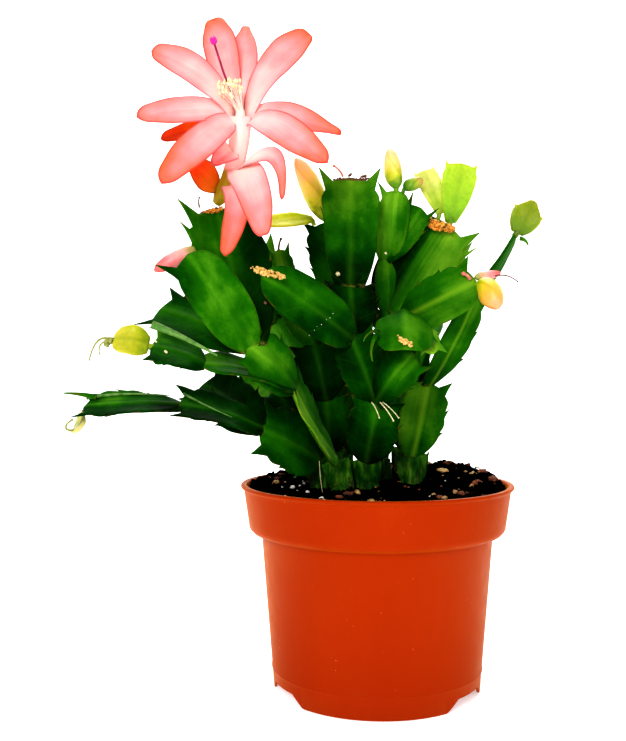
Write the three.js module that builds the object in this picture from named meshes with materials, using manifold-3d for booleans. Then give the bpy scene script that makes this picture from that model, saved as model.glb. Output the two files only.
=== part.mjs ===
// A potted christmas cactus, Schlumbergera truncata, in flower: a thin nursery pot, its soil, eight
// stems of flat toothed segments, young shoots, buds and one open bloom.
// Millimetres, +Z up, front to -Y. Points are measured from the pot's axis at the ground, and the
// last lines centre the whole part over the origin.

import * as THREE from 'three'
import { mergeVertices } from 'three/addons/utils/BufferGeometryUtils.js'
import Module from 'manifold-3d'

const wasm = await Module()
wasm.setup()

// ---- Driving dimensions ----------------------------------------------------------------------

const GAP = 0.3 // running gap between two separate pieces
const POT = {
  height: 80, rim: 52.5, lip: 1.2, bandFoot: 50.5, bandHeight: 15.4, body: 45.8, foot: 40.6, wall: 1.2,
  floor: 7, notchHeight: 4.2, notchReach: 15, notchSlant: 7, notchCount: 3, notchAngle: 85,
  bead: 8.2, sides: 36,
}
const DRAIN = { radius: 4, ring: 24, count: 4 }
const SOIL = { front: 77, slope: 0.045, heap: 4, lump: 0.7, sectors: 30, rings: 4 }
const ROOT = { wide: 4.6, thick: 2.9, deep: 8, above: 3.5, clear: 0.4, sides: 8 }
const EDGE = 0.4 // half thickness at a segment's margin
const PETAL_HALF = 0.34 // half thickness of a petal
const SINK = 2 // how far a segment's base sits inside the apex it grows from

const COLOURS = {
  terracotta: [0xcf3d08, 0.45], peat: [0x1c130e, 1], green: [0x2f6a14, 0.4], young: [0x9dbb12, 0.4],
  bud: [0xf0a85a, 0.45], petal: [0xf79a8c, 0.5], stamen: [0xf6efc6, 0.6], pistil: [0xc2185b, 0.5],
}

// ---- The plant's skeleton --------------------------------------------------------------------
// A row is one segment: its name, what it grows from, its tip, its width, the turn of its broad side
// away from the front in degrees, how far it bulges, and the cut of its margins, the left one first
// where they differ.

const STEMS = {
  stem_low_left: {
    root: [-22, -10],
    rows: [
      ['foot', 'root', [-23, -13, 91], 12, 15, 0, 'stub'],
      ['first', 'foot', [-45, -27, 103], 24, 15, 2, 'toothed'],
      ['shade', 'foot', [-40, -7, 117], 16, 10, 2, 'toothed'],
      ['dark', 'first', [-68, -10, 119], 21, 10, 2, 'toothed'],
      ['flat', 'first', [-74, -33, 112], 18, 38, 2, 'toothed'],
      ['end', 'flat', [-109, -31, 111], 17, 44, 1, 'toothed'],
    ],
  },
  stem_front_left: {
    root: [-14, -13],
    rows: [
      ['foot', 'root', [-17, -16, 91], 11, 0, 0, 'stub'],
      ['twisted', 'foot', [-33, -30, 119], 19, 62, -1, 'toothed'],
      ['olive', 'twisted', [-48, -44, 134], 18, 10, 2, 'toothed'],
      ['big', 'olive', [-68, -53, 164.5], 18.5, -5, 3, ['horned', 'smooth']],
      ['behind', 'olive', [-60, -30, 184], 27, 10, -1, 'stepped'],
      ['dark', 'olive', [-82.5, -22, 147.5], 20, 15, 2, 'stepped'],
      ['low', 'twisted', [-64, -49, 127], 16, 42, 2, 'smooth'],
      ['ledge', 'low', [-81, -50, 133], 19, 36, 1, 'toothed'],
    ],
  },
  stem_centre: {
    root: [-4, -9],
    rows: [
      ['foot', 'root', [-5, -13, 91], 12, -10, 0, 'stub'],
      ['first', 'foot', [-1, -22, 114], 19, 0, 2, 'toothed'],
      ['right', 'first', [9, -15, 146], 17, 15, 2, 'smooth'],
      ['left', 'first', [-11, -22, 138], 17, -10, 2, 'toothed'],
      ['rise', 'first', [11, -36, 131], 18, -12, 2, 'wedge'],
      ['arched', 'right', [7, -46, 132], 21, 0, 7, 'blunt'],
      ['frill', 'right', [17.5, -38, 130.5], 10, -20, 3, 'toothed'],
      ['front', 'left', [-43, -46, 158], 18, -10, 3, 'smooth'],
      ['shade', 'left', [-11, -8, 158], 20, 10, 1, 'toothed'],
      ['top', 'shade', [-11, -6, 200], 22, 5, 3, 'crowned'],
      ['wing', 'right', [35.5, -24, 158], 18, 15, 2, ['toothed', 'smooth']],
    ],
  },
  stem_right: {
    root: [14, 0],
    rows: [
      ['foot', 'root', [14, 0, 92], 13, 0, 0, 'stub'],
      ['first', 'foot', [20, -2, 120], 18, 5, 2, ['smooth', 'toothed']],
      ['second', 'first', [37, -12, 154], 13, 40, 2, ['smooth', 'toothed']],
      ['thin', 'second', [53, -10, 177], 9, 75, 1, 'smooth'],
    ],
  },
  stem_back_right: {
    root: [3, 10],
    rows: [
      ['foot', 'root', [3, 10, 92], 12, 70, 0, 'stub'],
      ['first', 'foot', [4, 9, 122], 17, 45, 1, 'toothed'],
      ['second', 'first', [4.2, 8, 150], 17, 45, 1, 'toothed'],
      ['broad', 'second', [27, 2, 184], 29, 10, 0, ['smooth', 'jagged']],
      ['pale', 'second', [3.8, 3, 170], 12, 30, 1, 'smooth'],
      ['crest', 'pale', [17.5, -1, 189], 12, 10, 1, 'jagged'],
      ['upper', 'pale', [8, -3, 195.4], 13, 0, 1, ['horned', 'smooth']],
    ],
  },
  stem_back_left: {
    root: [-19, 9],
    rows: [
      ['foot', 'root', [-19, 9, 92], 12, 0, 0, 'stub'],
      ['first', 'foot', [-20, 6, 114], 19, 10, 1, 'toothed'],
      ['second', 'first', [-25, 0, 136], 20, 0, 2, 'toothed'],
      ['third', 'second', [-15, 5, 156], 17, 10, 1, 'toothed'],
      ['upper', 'third', [-20, 4, 184], 18, 5, 1, 'toothed'],
      ['low', 'second', [-34, 2, 150], 12, 0, 1, 'toothed'],
      ['little', 'low', [-39, 3, 173], 9, 0, 1, 'toothed'],
    ],
  },
  stem_rear_left: {
    root: [-14, 22],
    rows: [
      ['foot', 'root', [-15, 23, 92], 13, 170, 0, 'stub'],
      ['first', 'foot', [-27, 31, 117], 20, 150, 2, 'toothed'],
      ['middle', 'foot', [-8, 27, 121], 20, 200, 2, 'toothed'],
      ['second', 'first', [-42, 35, 146], 22, 125, 3, 'toothed'],
      ['top', 'second', [-53, 30, 176], 23, 145, 3, 'wedge'],
      ['inner', 'middle', [-12, 36, 152], 21, 150, 3, 'smooth'],
      ['crown', 'inner', [-9, 36, 187], 23, 200, 3, 'wedge'],
      ['low', 'first', [-42, 56, 122], 20, 140, 4, 'toothed'],
      ['drop', 'low', [-58, 65, 108], 20, 130, 3, 'toothed'],
    ],
  },
  stem_rear_right: {
    root: [13, 22],
    rows: [
      ['foot', 'root', [14, 24, 92], 12, 185, 0, 'stub'],
      ['first', 'foot', [19, 32, 118], 20, 205, 2, 'toothed'],
      ['second', 'first', [29, 33, 147], 21, 235, 3, 'smooth'],
      ['top', 'second', [33, 26, 177], 22, 205, 3, 'wedge'],
      ['inner', 'first', [9, 46, 148], 20, 145, 3, 'toothed'],
      ['crown', 'inner', [15, 52, 178], 21, 170, 3, 'wedge'],
      ['low', 'first', [14, 60, 122], 20, 200, 4, 'toothed'],
      ['drop', 'low', [7, 73, 100], 20, 190, 3, 'toothed'],
    ],
  },
}

// Young segments, in rows of the same kind: each starts just off the apex of a full-grown one, or
// at a point beside it.
const YOUNG = {
  young_low_left: [[-110, -31.5, 109.4], [-112, -35, 102.5], 7, 50, -2, 'lens'],
  young_front_left: [['stem_front_left', 'ledge'], [-94, -51, 135], 11.5, 8, 2, 'barrel'],
  young_back_left: [['stem_back_left', 'upper', -5], [-44, -11, 181], 9, 15, 0, 'lens'],
  young_pale: [['stem_back_right', 'broad', -2.6], [19, 5, 205], 9, 0, 1, 'square'],
  young_lime: [['stem_back_right', 'broad', 2.4], [33, -4, 206], 13, 10, 1, 'square'],
  young_right: [['stem_right', 'thin'], [60, -11, 190], 12, 10, 1, 'spade'],
}

// Buds: the apex or the point beside a segment that each starts from, its tip, its largest radius, and
// how far it bows.
const BUDS = {
  bud_tall_orange: [['stem_back_left', 'upper', 0.8], [-32, 2, 209], 4.5, 2],
  bud_tall_yellow: [['stem_back_right', 'upper', -0.5], [4.8, -2, 212], 3.6, 0],
  bud_small_top: [['stem_back_right', 'upper', 2.3], [18, -4, 199.5], 2.6, 0],
  bud_right: [['stem_centre', 'wing', 1.6], [41, -37, 147], 4.5, 1.5],
  bud_right_small: [[35.2, -23.2, 159.3], [45.5, -19, 161.5], 1.8, 0],
  bud_left_pink: [[-67, -42.1, 167.4], [-80.5, -46, 159.5], 2.9, 1],
}

// The bloom: its tube rises from an apex, turns at its elbow and ends at its mouth. Petals are rooted
// in its wall, `rootAtMouth` from its axis near the mouth and `rootBelow` from it lower down. A petal's
// row is the share of the tube where it leaves, its tip, its width, its turn about its length, how far
// it follows the tube and spreads from it before it bends away, its sway to one side, and its cut.
const BLOOM = {
  from: ['stem_front_left', 'behind'], elbow: [-51, -36, 198], mouth: [-51, -39, 215],
  radii: [[0, 1.6], [0.1, 3], [0.3, 3.1], [0.55, 3.5], [0.8, 3.8], [1, 4.1]],
  throat: 2.4, throatDepth: 12, sides: 12,
  mouthFrom: 0.9, rootAtMouth: 3, rootBelow: 2.2,
}
const PETALS = [
  [1, [-82, -43, 237.5], 13, 0, 16.5, 3, -1, 'blunt'],
  [1, [-86, -50, 212.5], 11.5, 0, 6, 0.5, 0, 'blunt'],
  [0.95, [-76, -60, 187.5], 12.5, 0, 6, 1, 0, 'blunt'],
  [1, [-62, -25, 255], 12.5, 0, 18, 3, -1.5, 'blunt'],
  [1, [-50.5, -18, 255], 11, 0, 19, 3.2, 0, 'pointed'],
  [1, [-26.8, -30, 248], 13.2, 0, 16, 2.4, 0, 'blunt'],
  [1, [-15, -40, 209], 10.5, 0, 5.5, 2, -1, 'pointed'],
  [0.95, [-20, -52, 196], 11.5, 0, 7, 2, -0.5, 'blunt'],
  [0.5, [-42, -59, 170], 13, 0, 2, 9, -1, 'strap'],
  [0.3, [-55, -57, 163.5], 9.5, 0, 1, 8, -2.8, 'strap'],
  [0.5, [-36, -46, 184], 9, -20, 20, 15, 0, 'tail'],
  [0.65, [-60, -45, 196.5], 8.5, 0, 3, 1, 0, 'strap'],
  [0.18, [-68.5, -38, 199], 11, 0, 1, 2, 0, 'blunt'],
  [0.9, [-80.5, -34, 208.5], 8, 0, 4, 0.8, 0, 'blunt'],
]
const STAMENS = { count: 9, reach: 10, spread: 4, ring: 1.35, column: 1.9, half: 0.5, anther: 0.9 }
const PISTIL = { knee: [-56, -45.5, 227.5], tip: [-59.5, -47.5, 238.5], radius: 0.5, stigma: 1.3, depth: 9 }

// ---- Cuts ------------------------------------------------------------------------------------
// A plate has stations from its base to its apex: places on its middle line and, a little further
// on, at its margins, as shares of its length. A cut gives the margin's reach at each station, as a
// share of half the width, and the teeth that point forward from just before a station.

const SEGMENT = {
  middle: [0, 0.1, 0.22, 0.34, 0.48, 0.62, 0.78, 1],
  margin: [0, 0.14, 0.28, 0.4, 0.55, 0.68, 0.85, 0.96],
}
const PETAL = {
  middle: [0, 0.2, 0.42, 0.62, 0.8, 1],
  margin: [0, 0.2, 0.42, 0.62, 0.8, 0.95],
}
const CUTS = {
  toothed: {
    reach: [0.26, 0.64, 0.9, 0.92, 1, 0.96, 0.96, 0.52],
    teeth: { 3: [0.42, 1.08], 5: [0.71, 1.14], 7: [1.06, 1.06] },
  },
  wedge: {
    reach: [0.34, 0.46, 0.6, 0.72, 0.86, 0.9, 0.96, 0.58],
    teeth: { 5: [0.72, 1.12], 7: [1.08, 1.04] },
  },
  crowned: {
    reach: [0.5, 0.72, 0.86, 0.93, 0.97, 0.98, 0.97, 0.6],
    teeth: { 5: [0.72, 1.08], 7: [1.09, 1.06] },
  },
  smooth: { reach: [0.4, 0.76, 0.93, 0.98, 1, 0.99, 0.9, 0.58], teeth: {} },
  stub: { reach: [0.68, 0.82, 0.9, 0.93, 0.95, 0.97, 1, 0.9], teeth: { 7: [1.12, 1.1] } },
  stepped: {
    reach: [0.4, 0.7, 0.88, 0.95, 1, 0.98, 0.9, 0.56],
    teeth: { 4: [0.56, 1.1], 6: [0.9, 1.12], 7: [1.07, 1.06] },
  },
  jagged: {
    reach: [0.26, 0.6, 0.84, 0.92, 1, 0.98, 0.94, 0.62],
    teeth: { 4: [0.6, 1.1], 5: [0.79, 1.16], 6: [0.98, 1.16], 7: [1.12, 0.98] },
  },
  horned: { reach: [0.4, 0.76, 0.93, 0.98, 1, 0.99, 0.92, 0.62], teeth: { 7: [1.12, 1.26] } },
  lens: { reach: [0.3, 0.6, 0.84, 0.95, 1, 0.94, 0.7, 0.4], teeth: {} },
  blunt: { reach: [0.34, 0.62, 0.84, 0.93, 1, 1, 0.95, 0.62], teeth: { 5: [0.7, 1.08] } },
  barrel: { reach: [0.55, 0.82, 0.95, 1, 1, 0.97, 0.8, 0.45], teeth: {} },
  square: { reach: [0.34, 0.55, 0.76, 0.88, 0.98, 1, 1, 0.8], teeth: { 5: [0.71, 1.08], 7: [1.02, 0.94] } },
  spade: { reach: [0.4, 0.72, 0.88, 0.95, 1, 0.84, 0.5, 0.25], teeth: { 5: [0.66, 1.22] } },
}
const PETAL_CUTS = {
  blunt: { reach: [0.32, 0.55, 0.82, 1, 0.98, 0.6], teeth: {} },
  pointed: { reach: [0.32, 0.62, 0.92, 1, 0.78, 0.3], teeth: {} },
  strap: { reach: [0.6, 0.95, 1, 0.92, 0.8, 0.5], teeth: {} },
  tail: { reach: [0.6, 1, 0.95, 0.62, 0.36, 0.25], teeth: {} },
}

// ---- Small helpers ---------------------------------------------------------------------------

const FRONT = new THREE.Vector3(0, -0.94, 0.34)
const vec = ([x, y, z]) => new THREE.Vector3(x, y, z)
const rad = THREE.MathUtils.degToRad
const mix = THREE.MathUtils.lerp

// A seeded draw between -1 and 1.
function draw(seed, k) {
  const value = Math.sin(seed * 12.9898 + k * 78.233) * 43758.5453
  return 2 * (value - Math.floor(value)) - 1
}

function solid(geometry) {
  const bare = geometry.clone()
  bare.deleteAttribute('normal')
  bare.deleteAttribute('uv')
  const merged = mergeVertices(bare, 1e-4)
  return new wasm.Manifold(new wasm.Mesh({
    numProp: 3,
    vertProperties: new Float32Array(merged.attributes.position.array),
    triVerts: new Uint32Array(merged.index.array),
  }))
}

function geometryOf(body) {
  const mesh = body.getMesh()
  const geometry = new THREE.BufferGeometry()
  geometry.setAttribute('position', new THREE.BufferAttribute(mesh.vertProperties.slice(), 3))
  geometry.setIndex(new THREE.BufferAttribute(mesh.triVerts.slice(), 1))
  return geometry
}

const joined = (bodies) => bodies.reduce((whole, body) => whole.add(body))

function closed(points, faces) {
  const geometry = new THREE.BufferGeometry()
  geometry.setAttribute('position', new THREE.Float32BufferAttribute(points.flatMap((p) => p.toArray()), 3))
  geometry.setIndex(faces.flat())
  return solid(geometry)
}

// ---- Plates: segments and petals ---------------------------------------------------------------

// A thin closed plate. `place(u, v)` gives a point of its middle surface and the normal there, and
// `half(u, v)` half its thickness. `cuts` has the right margin's cut and then the left one's. Both
// faces are split into the same triangles.
function plate(stations, cuts, place, half) {
  const points = []
  const corner = (u, v) => {
    const { point, normal } = place(u, v)
    const step = normal.clone().multiplyScalar(half(u, v))
    points.push(point.clone().add(step), point.clone().sub(step))
    return points.length - 2
  }
  const middle = stations.middle.map((u) => corner(u, 0))
  const margins = [1, -1].map((side, k) => stations.margin.map((u, i) => {
    const tooth = cuts[k].teeth[i]
    return {
      edge: corner(u, side * cuts[k].reach[i]),
      tooth: tooth ? corner(tooth[0], side * tooth[1]) : null,
    }
  }))

  const faces = []
  const both = (a, b, c) => faces.push([a, b, c], [c + 1, b + 1, a + 1])
  const rim = (a, b) => faces.push([b, a, a + 1], [b, a + 1, b + 1])
  margins.forEach((margin, left) => {
    const face = (a, b, c) => (left ? both(c, b, a) : both(a, b, c))
    const edge = (a, b) => (left ? rim(b, a) : rim(a, b))
    edge(middle[0], margin[0].edge)
    for (let i = 0; i + 1 < middle.length; i++) {
      const [low, high] = [margin[i], margin[i + 1]]
      face(middle[i], low.edge, high.edge)
      face(middle[i], high.edge, middle[i + 1])
      if (high.tooth === null) {
        edge(low.edge, high.edge)
      } else {
        face(low.edge, high.tooth, high.edge)
        edge(low.edge, high.tooth)
        edge(high.tooth, high.edge)
      }
    }
    edge(margin.at(-1).edge, middle.at(-1))
  })
  return closed(points, faces)
}

// The way a blade's broad side faces: to the front, turned about the blade's axis.
function facing(axis, turn) {
  const look = FRONT.clone().addScaledVector(axis, -FRONT.dot(axis)).normalize()
  return look.applyAxisAngle(axis, rad(turn))
}

// A segment that bulges more than this is arched across as well, by this share of its width.
const ARCHED = { from: 5, cup: 0.22 }

// One segment between two points. It is thickest along its midrib, and older ones are thicker.
function segment(from, tip, [wide, turn, bulge, cut], seed) {
  const run = tip.clone().sub(from)
  const axis = run.clone().normalize()
  const facet = facing(axis, turn)
  const side = axis.clone().cross(facet)
  const cup = bulge > ARCHED.from ? -ARCHED.cup * wide : 0.1 * wide * (1 + 0.5 * draw(seed, 1))
  const wave = 0.035 * wide
  const rib = THREE.MathUtils.clamp(2 - 0.008 * (tip.z - 90), 1.1, 2)

  const place = (u, v) => {
    const lift = bulge * 4 * u * (1 - u) + cup * v * v + wave * v * Math.sin(7 * u + seed)
    const point = from.clone().addScaledVector(run, u)
      .addScaledVector(side, v * wide / 2).addScaledVector(facet, lift)
    const slope = bulge * 4 * (1 - 2 * u) / run.length()
    const normal = facet.clone().addScaledVector(axis, -slope).addScaledVector(side, -4 * cup * v / wide)
    return { point, normal: normal.normalize() }
  }
  const half = (u, v) => (v === 0 ? mix(rib, 0.8, u) : EDGE)
  const [left, right] = Array.isArray(cut) ? cut : [cut, cut]
  return plate(SEGMENT, [varied(right, seed), varied(left, seed)], place, half)
}

// A cut with its teeth moved a little, so that no two segments are alike.
function varied(cut, seed) {
  const teeth = Object.entries(CUTS[cut].teeth).map(([i, [at, reach]]) => [
    i, [at + 0.03 * draw(seed, Number(i)), reach + 0.06 * draw(seed, Number(i) + 20)]])
  return { reach: CUTS[cut].reach, teeth: Object.fromEntries(teeth) }
}

// ---- Round bodies: buds, tube, filaments, roots ------------------------------------------------

// A closed body of rings about a path of [point, radius], with ridges raised by a formula.
function turned(path, sides, ridge = () => 1) {
  const points = []
  const faces = []
  path.forEach(([centre, radius], i) => {
    const before = path[Math.max(i - 1, 0)][0]
    const after = path[Math.min(i + 1, path.length - 1)][0]
    const along = after.clone().sub(before).normalize()
    const across = new THREE.Vector3(0, 1, 0)
    across.addScaledVector(along, -across.dot(along)).normalize()
    const third = along.clone().cross(across)
    for (let k = 0; k < sides; k++) {
      const angle = 2 * Math.PI * k / sides
      const reach = radius * ridge(i / (path.length - 1), angle)
      points.push(centre.clone().addScaledVector(across, reach * Math.cos(angle))
        .addScaledVector(third, reach * Math.sin(angle)))
    }
  })
  for (let i = 0; i + 1 < path.length; i++) {
    for (let k = 0; k < sides; k++) {
      const next = (k + 1) % sides
      const [a, b] = [i * sides + k, i * sides + next]
      faces.push([a, b, b + sides], [a, b + sides, a + sides])
    }
  }
  const last = (path.length - 1) * sides
  points.push(path[0][0].clone(), path.at(-1)[0].clone())
  for (let k = 0; k < sides; k++) {
    const next = (k + 1) % sides
    faces.push([points.length - 2, next, k], [points.length - 1, last + k, last + next])
  }
  return closed(points, faces)
}

// Shares of a bud's length and of its largest radius, from its base to its tip.
const BUD = [
  [0, 0.35], [0.06, 0.65], [0.2, 0.9], [0.42, 1], [0.66, 0.9], [0.85, 0.66], [0.96, 0.36], [1, 0.1],
]

// A bud: tepals wrapped in a spiral show as three low ridges that turn about it.
function bud(from, tip, radius, bow) {
  const run = tip.clone().sub(from)
  const path = BUD.map(([u, share]) => {
    const centre = from.clone().addScaledVector(run, u)
    centre.y -= bow * 4 * u * (1 - u)
    return [centre, radius * share]
  })
  return turned(path, 12, (u, angle) => 1 + 0.09 * Math.cos(3 * angle + 4 * u))
}

// ---- Pot ---------------------------------------------------------------------------------------

function ring(profile, sides) {
  const lathe = new THREE.LatheGeometry(profile.map(([r, z]) => new THREE.Vector2(r, z)), sides)
  return solid(lathe.rotateX(Math.PI / 2))
}

// The pot's outer and inner radius at a height, below its band.
const bodyRadius = (z) => mix(POT.foot, POT.body, z / (POT.height - POT.bandHeight))
const innerRadius = (z) => bodyRadius(z) - POT.wall

function pot() {
  const band = POT.height - POT.bandHeight
  const under = POT.floor
  const shell = ring([
    [0, under], [innerRadius(under), under], [innerRadius(0), 0], [POT.foot, 0],
    [bodyRadius(POT.bead), POT.bead], [bodyRadius(POT.bead) + 0.3, POT.bead + 0.4],
    [bodyRadius(POT.bead + 1), POT.bead + 1], [bodyRadius(band - 4), band - 4],
    [POT.bandFoot - 1.6, band - 2.8], [POT.bandFoot, band], [POT.rim, POT.height - 1.8],
    [POT.rim + POT.lip, POT.height - 1], [POT.rim + POT.lip, POT.height], [POT.rim - 1, POT.height],
    [POT.bandFoot - POT.wall, band], [innerRadius(band - 4), band - 3.5],
    [innerRadius(under + POT.wall), under + POT.wall], [0, under + POT.wall],
  ], POT.sides)
  return [...notches(), ...drains()].reduce((body, cut) => body.subtract(cut), shell)
}

// Wide notches round the foot let water out from under the floor.
function notches() {
  const { notchHeight: high, notchReach: reach, notchCount: count } = POT
  const top = reach - POT.notchSlant
  const outline = new THREE.Shape([[-reach, -1], [reach, -1], [top, high], [-top, high]]
    .map(([x, y]) => new THREE.Vector2(x, y)))
  return Array.from({ length: count }, (_, k) => {
    const bar = new THREE.ExtrudeGeometry(outline, { depth: POT.foot, bevelEnabled: false })
    bar.translate(0, 0, POT.foot / 2).rotateX(Math.PI / 2)
    return solid(bar.rotateZ(rad(90 + POT.notchAngle + k * 360 / count)))
  })
}

function drains() {
  const places = [[0, 0]]
  for (let k = 0; k < DRAIN.count; k++) {
    const angle = 2 * Math.PI * (k + 0.5) / DRAIN.count
    places.push([DRAIN.ring * Math.cos(angle), DRAIN.ring * Math.sin(angle)])
  }
  return places.map(([x, y]) => upright(x, y, POT.floor - 2, POT.floor + 4, DRAIN.radius, DRAIN.radius))
}

// An upright prism with an elliptical section.
function upright(x, y, low, high, rx, ry, sides = ROOT.sides) {
  const prism = new THREE.CylinderGeometry(1, 1, high - low, sides)
  prism.rotateX(Math.PI / 2).scale(rx, ry, 1).translate(x, y, (low + high) / 2)
  return solid(prism)
}

// ---- Soil --------------------------------------------------------------------------------------

// Height of the soil: it slopes up to the back, is heaped at the back right, and is lumpy.
function soilHeight(x, y) {
  const heap = SOIL.heap * Math.exp(-((x - 32) ** 2 + (y - 22) ** 2) / 400)
  const lumps = Math.sin(0.55 * x + 0.8) * Math.cos(0.5 * y) + 0.6 * Math.sin(0.9 * y + 0.35 * x)
  return SOIL.front + SOIL.slope * (y + 50) + heap + SOIL.lump * lumps
}

// Pieces lying on the soil: [x, y, half length, half width, turn in degrees]. The first rows are
// bark chips, and a seeded scatter of perlite grains follows.
const BARK = [
  [33, 26, 7, 4, 20], [24, 34, 6, 4, -30], [10, 38, 6, 3, 10], [40, 10, 5, 3, 60],
  [-34, 28, 5, 3, -15], [-40, 2, 4, 2.5, 70], [30, -24, 4, 2.5, 30], [-4, -36, 4, 2, -10],
]
const PERLITE = { count: 10, from: 24, to: 45, radius: 1.3 }

function soil() {
  const { sectors, rings } = SOIL
  const top = POT.height - 3
  const wall = (z) => (z > POT.height - POT.bandHeight ? mix(
    POT.bandFoot, POT.rim, (z - POT.height + POT.bandHeight) / POT.bandHeight) - POT.wall : innerRadius(z))
  const floor = POT.floor + POT.wall + GAP
  const step = POT.height - POT.bandHeight
  const side = [floor, step - 5, step + 0.5].map((z) => [wall(Math.min(z, step - 5)) - GAP - 0.15, z])
  const points = []
  const faces = []
  const loops = []
  const loop = (radius, height) => {
    loops.push(points.length)
    for (let k = 0; k < sectors; k++) {
      const angle = 2 * Math.PI * k / sectors
      const [x, y] = [radius * Math.cos(angle), radius * Math.sin(angle)]
      points.push(new THREE.Vector3(x, y, height(x, y)))
    }
  }
  side.forEach(([radius, z]) => loop(radius, () => z))
  loop(wall(step + 2) - GAP - 0.15, () => step + 2)
  const brim = wall(top) - GAP - 0.25
  for (let i = 0; i < rings; i++) loop(brim * (1 - i / rings), soilHeight)
  points.push(new THREE.Vector3(0, 0, floor), new THREE.Vector3(0, 0, soilHeight(0, 0)))
  const [bottom, crown] = [points.length - 2, points.length - 1]
  for (let k = 0; k < sectors; k++) {
    const next = (k + 1) % sectors
    for (let i = 0; i + 1 < loops.length; i++) {
      const [low, high] = [loops[i], loops[i + 1]]
      faces.push([low + k, low + next, high + next], [low + k, high + next, high + k])
    }
    faces.push([bottom, loops[0] + next, loops[0] + k], [crown, loops.at(-1) + k, loops.at(-1) + next])
  }
  const holes = Object.values(STEMS).map(({ root: [x, y] }) => {
    const [ground, clear] = [soilHeight(x, y), ROOT.clear]
    return upright(x, y, ground - ROOT.deep - clear, ground + 9, ROOT.wide + clear, ROOT.thick + clear)
  })
  const body = joined([closed(points, faces), ...BARK.map(chip), ...grains()])
  return holes.reduce((whole, hole) => whole.subtract(hole), body)
}

// A bark chip: a thin flake lying aslant, half sunk in the soil.
function chip([x, y, long, wide, turn], k) {
  const flake = new THREE.CylinderGeometry(1, 0.8, 1.8, 5)
  flake.rotateX(Math.PI / 2).scale(long, wide, 1).rotateZ(rad(turn))
  flake.rotateX(0.25 * draw(3, k)).rotateY(0.25 * draw(5, k)).translate(x, y, soilHeight(x, y) + 0.5)
  return solid(flake)
}

function grains() {
  return Array.from({ length: PERLITE.count }, (_, k) => {
    const angle = 2.4 * k
    const radius = mix(PERLITE.from, PERLITE.to, 0.5 + 0.5 * draw(7, k))
    const [x, y] = [radius * Math.cos(angle), radius * Math.sin(angle)]
    const grain = new THREE.OctahedronGeometry(PERLITE.radius * (1 + 0.3 * draw(9, k)))
    return solid(grain.rotateX(k).rotateZ(k).translate(x, y, soilHeight(x, y)))
  })
}

// ---- Stems -------------------------------------------------------------------------------------

// Tip, direction and side of each segment, by stem and name, for what grows on from it.
const APEX = {}

function stem(name, { root: [x, y], rows }, order) {
  const ground = soilHeight(x, y)
  const collar = new THREE.Vector3(x, y, ground + 1.2)
  const bodies = [upright(x, y, ground - ROOT.deep, ground + ROOT.above, ROOT.wide, ROOT.thick)]
  const apexes = { root: { tip: collar, axis: new THREE.Vector3() } }
  rows.forEach(([label, parent, tip, ...form], i) => {
    const base = apexes[parent].tip.clone().addScaledVector(apexes[parent].axis, -SINK)
    const end = vec(tip)
    bodies.push(segment(base, end, form, 10 * order + i))
    const axis = end.clone().sub(base).normalize()
    const side = axis.clone().cross(facing(axis, form[1]))
    apexes[label] = { tip: end, axis, side }
  })
  APEX[name] = apexes
  return joined(bodies)
}

// Where a piece of its own starts: just off the apex that carries it, `shift` along that apex, and
// far enough out for a base of this half thickness to stand aslant.
function seat([stemName, label, shift = 0], end, half) {
  const { tip, axis, side } = APEX[stemName][label]
  const lean = axis.angleTo(end.clone().sub(tip))
  return tip.clone().addScaledVector(side, shift).addScaledVector(axis, GAP + 0.2 + half * Math.sin(lean))
}

// An origin is an apex, as seat() takes it, or a point.
function start(origin, tip, half) {
  return typeof origin[0] === 'string' ? seat(origin, vec(tip), half) : vec(origin)
}

function young([origin, tip, ...form], order) {
  return segment(start(origin, tip, 1.5), vec(tip), form, 200 + order)
}

// ---- Bloom -------------------------------------------------------------------------------------

function bloomPath() {
  const [elbow, mouth] = [vec(BLOOM.elbow), vec(BLOOM.mouth)]
  const base = seat(BLOOM.from, elbow, BLOOM.radii[0][1])
  const curve = new THREE.QuadraticBezierCurve3(base, elbow, mouth)
  return { curve, mouth, axis: mouth.clone().sub(elbow).normalize() }
}

// One petal: it leaves the tube's wall, follows it a little, then bends out to its tip.
function petal(tube, [share, tip, wide, turn, follow, spread, sway, cut], order) {
  const end = vec(tip)
  const centre = tube.getPoint(share - 0.04)
  const axis = tube.getTangent(share - 0.04)
  const out = end.clone().sub(centre)
  out.addScaledVector(axis, -out.dot(axis)).normalize()
  const root = share > BLOOM.mouthFrom ? BLOOM.rootAtMouth : BLOOM.rootBelow
  const start = centre.clone().addScaledVector(out, root)
  const bend = start.clone().addScaledVector(axis, follow).addScaledVector(out, spread)
  const curve = new THREE.QuadraticBezierCurve3(start, bend, end)
  const cup = 0.12 * wide
  const place = (u, v) => {
    const along = curve.getTangent(u)
    const normal = out.clone().negate().lerp(FRONT, 0.35 + 0.65 * u)
    normal.addScaledVector(along, -normal.dot(along)).normalize().applyAxisAngle(along, rad(turn * u))
    const across = along.clone().cross(normal)
    const point = curve.getPoint(u).addScaledVector(across, v * wide / 2 + sway * 4 * u * (1 - u))
      .addScaledVector(normal, cup * v * v * u + 0.6 * v * Math.sin(6 * u + order))
    return { point, normal }
  }
  return plate(PETAL, [PETAL_CUTS[cut], PETAL_CUTS[cut]], place, () => PETAL_HALF)
}

function petals() {
  const bloom = bloomPath()
  const tube = turned(BLOOM.radii.map(([u, radius]) => [bloom.curve.getPoint(u), radius]), BLOOM.sides)
  const whole = joined([tube, ...PETALS.map((row, i) => petal(bloom.curve, row, i))])
  return whole.subtract(throat(bloom, BLOOM.throat, BLOOM.throatDepth, 8))
}

// A round bar down the bloom's axis, from `depth` below its mouth to `above` over it.
function throat({ mouth, axis }, radius, depth, above) {
  return turned([-depth, above].map((z) => [mouth.clone().addScaledVector(axis, z), radius]), 10)
}

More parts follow.
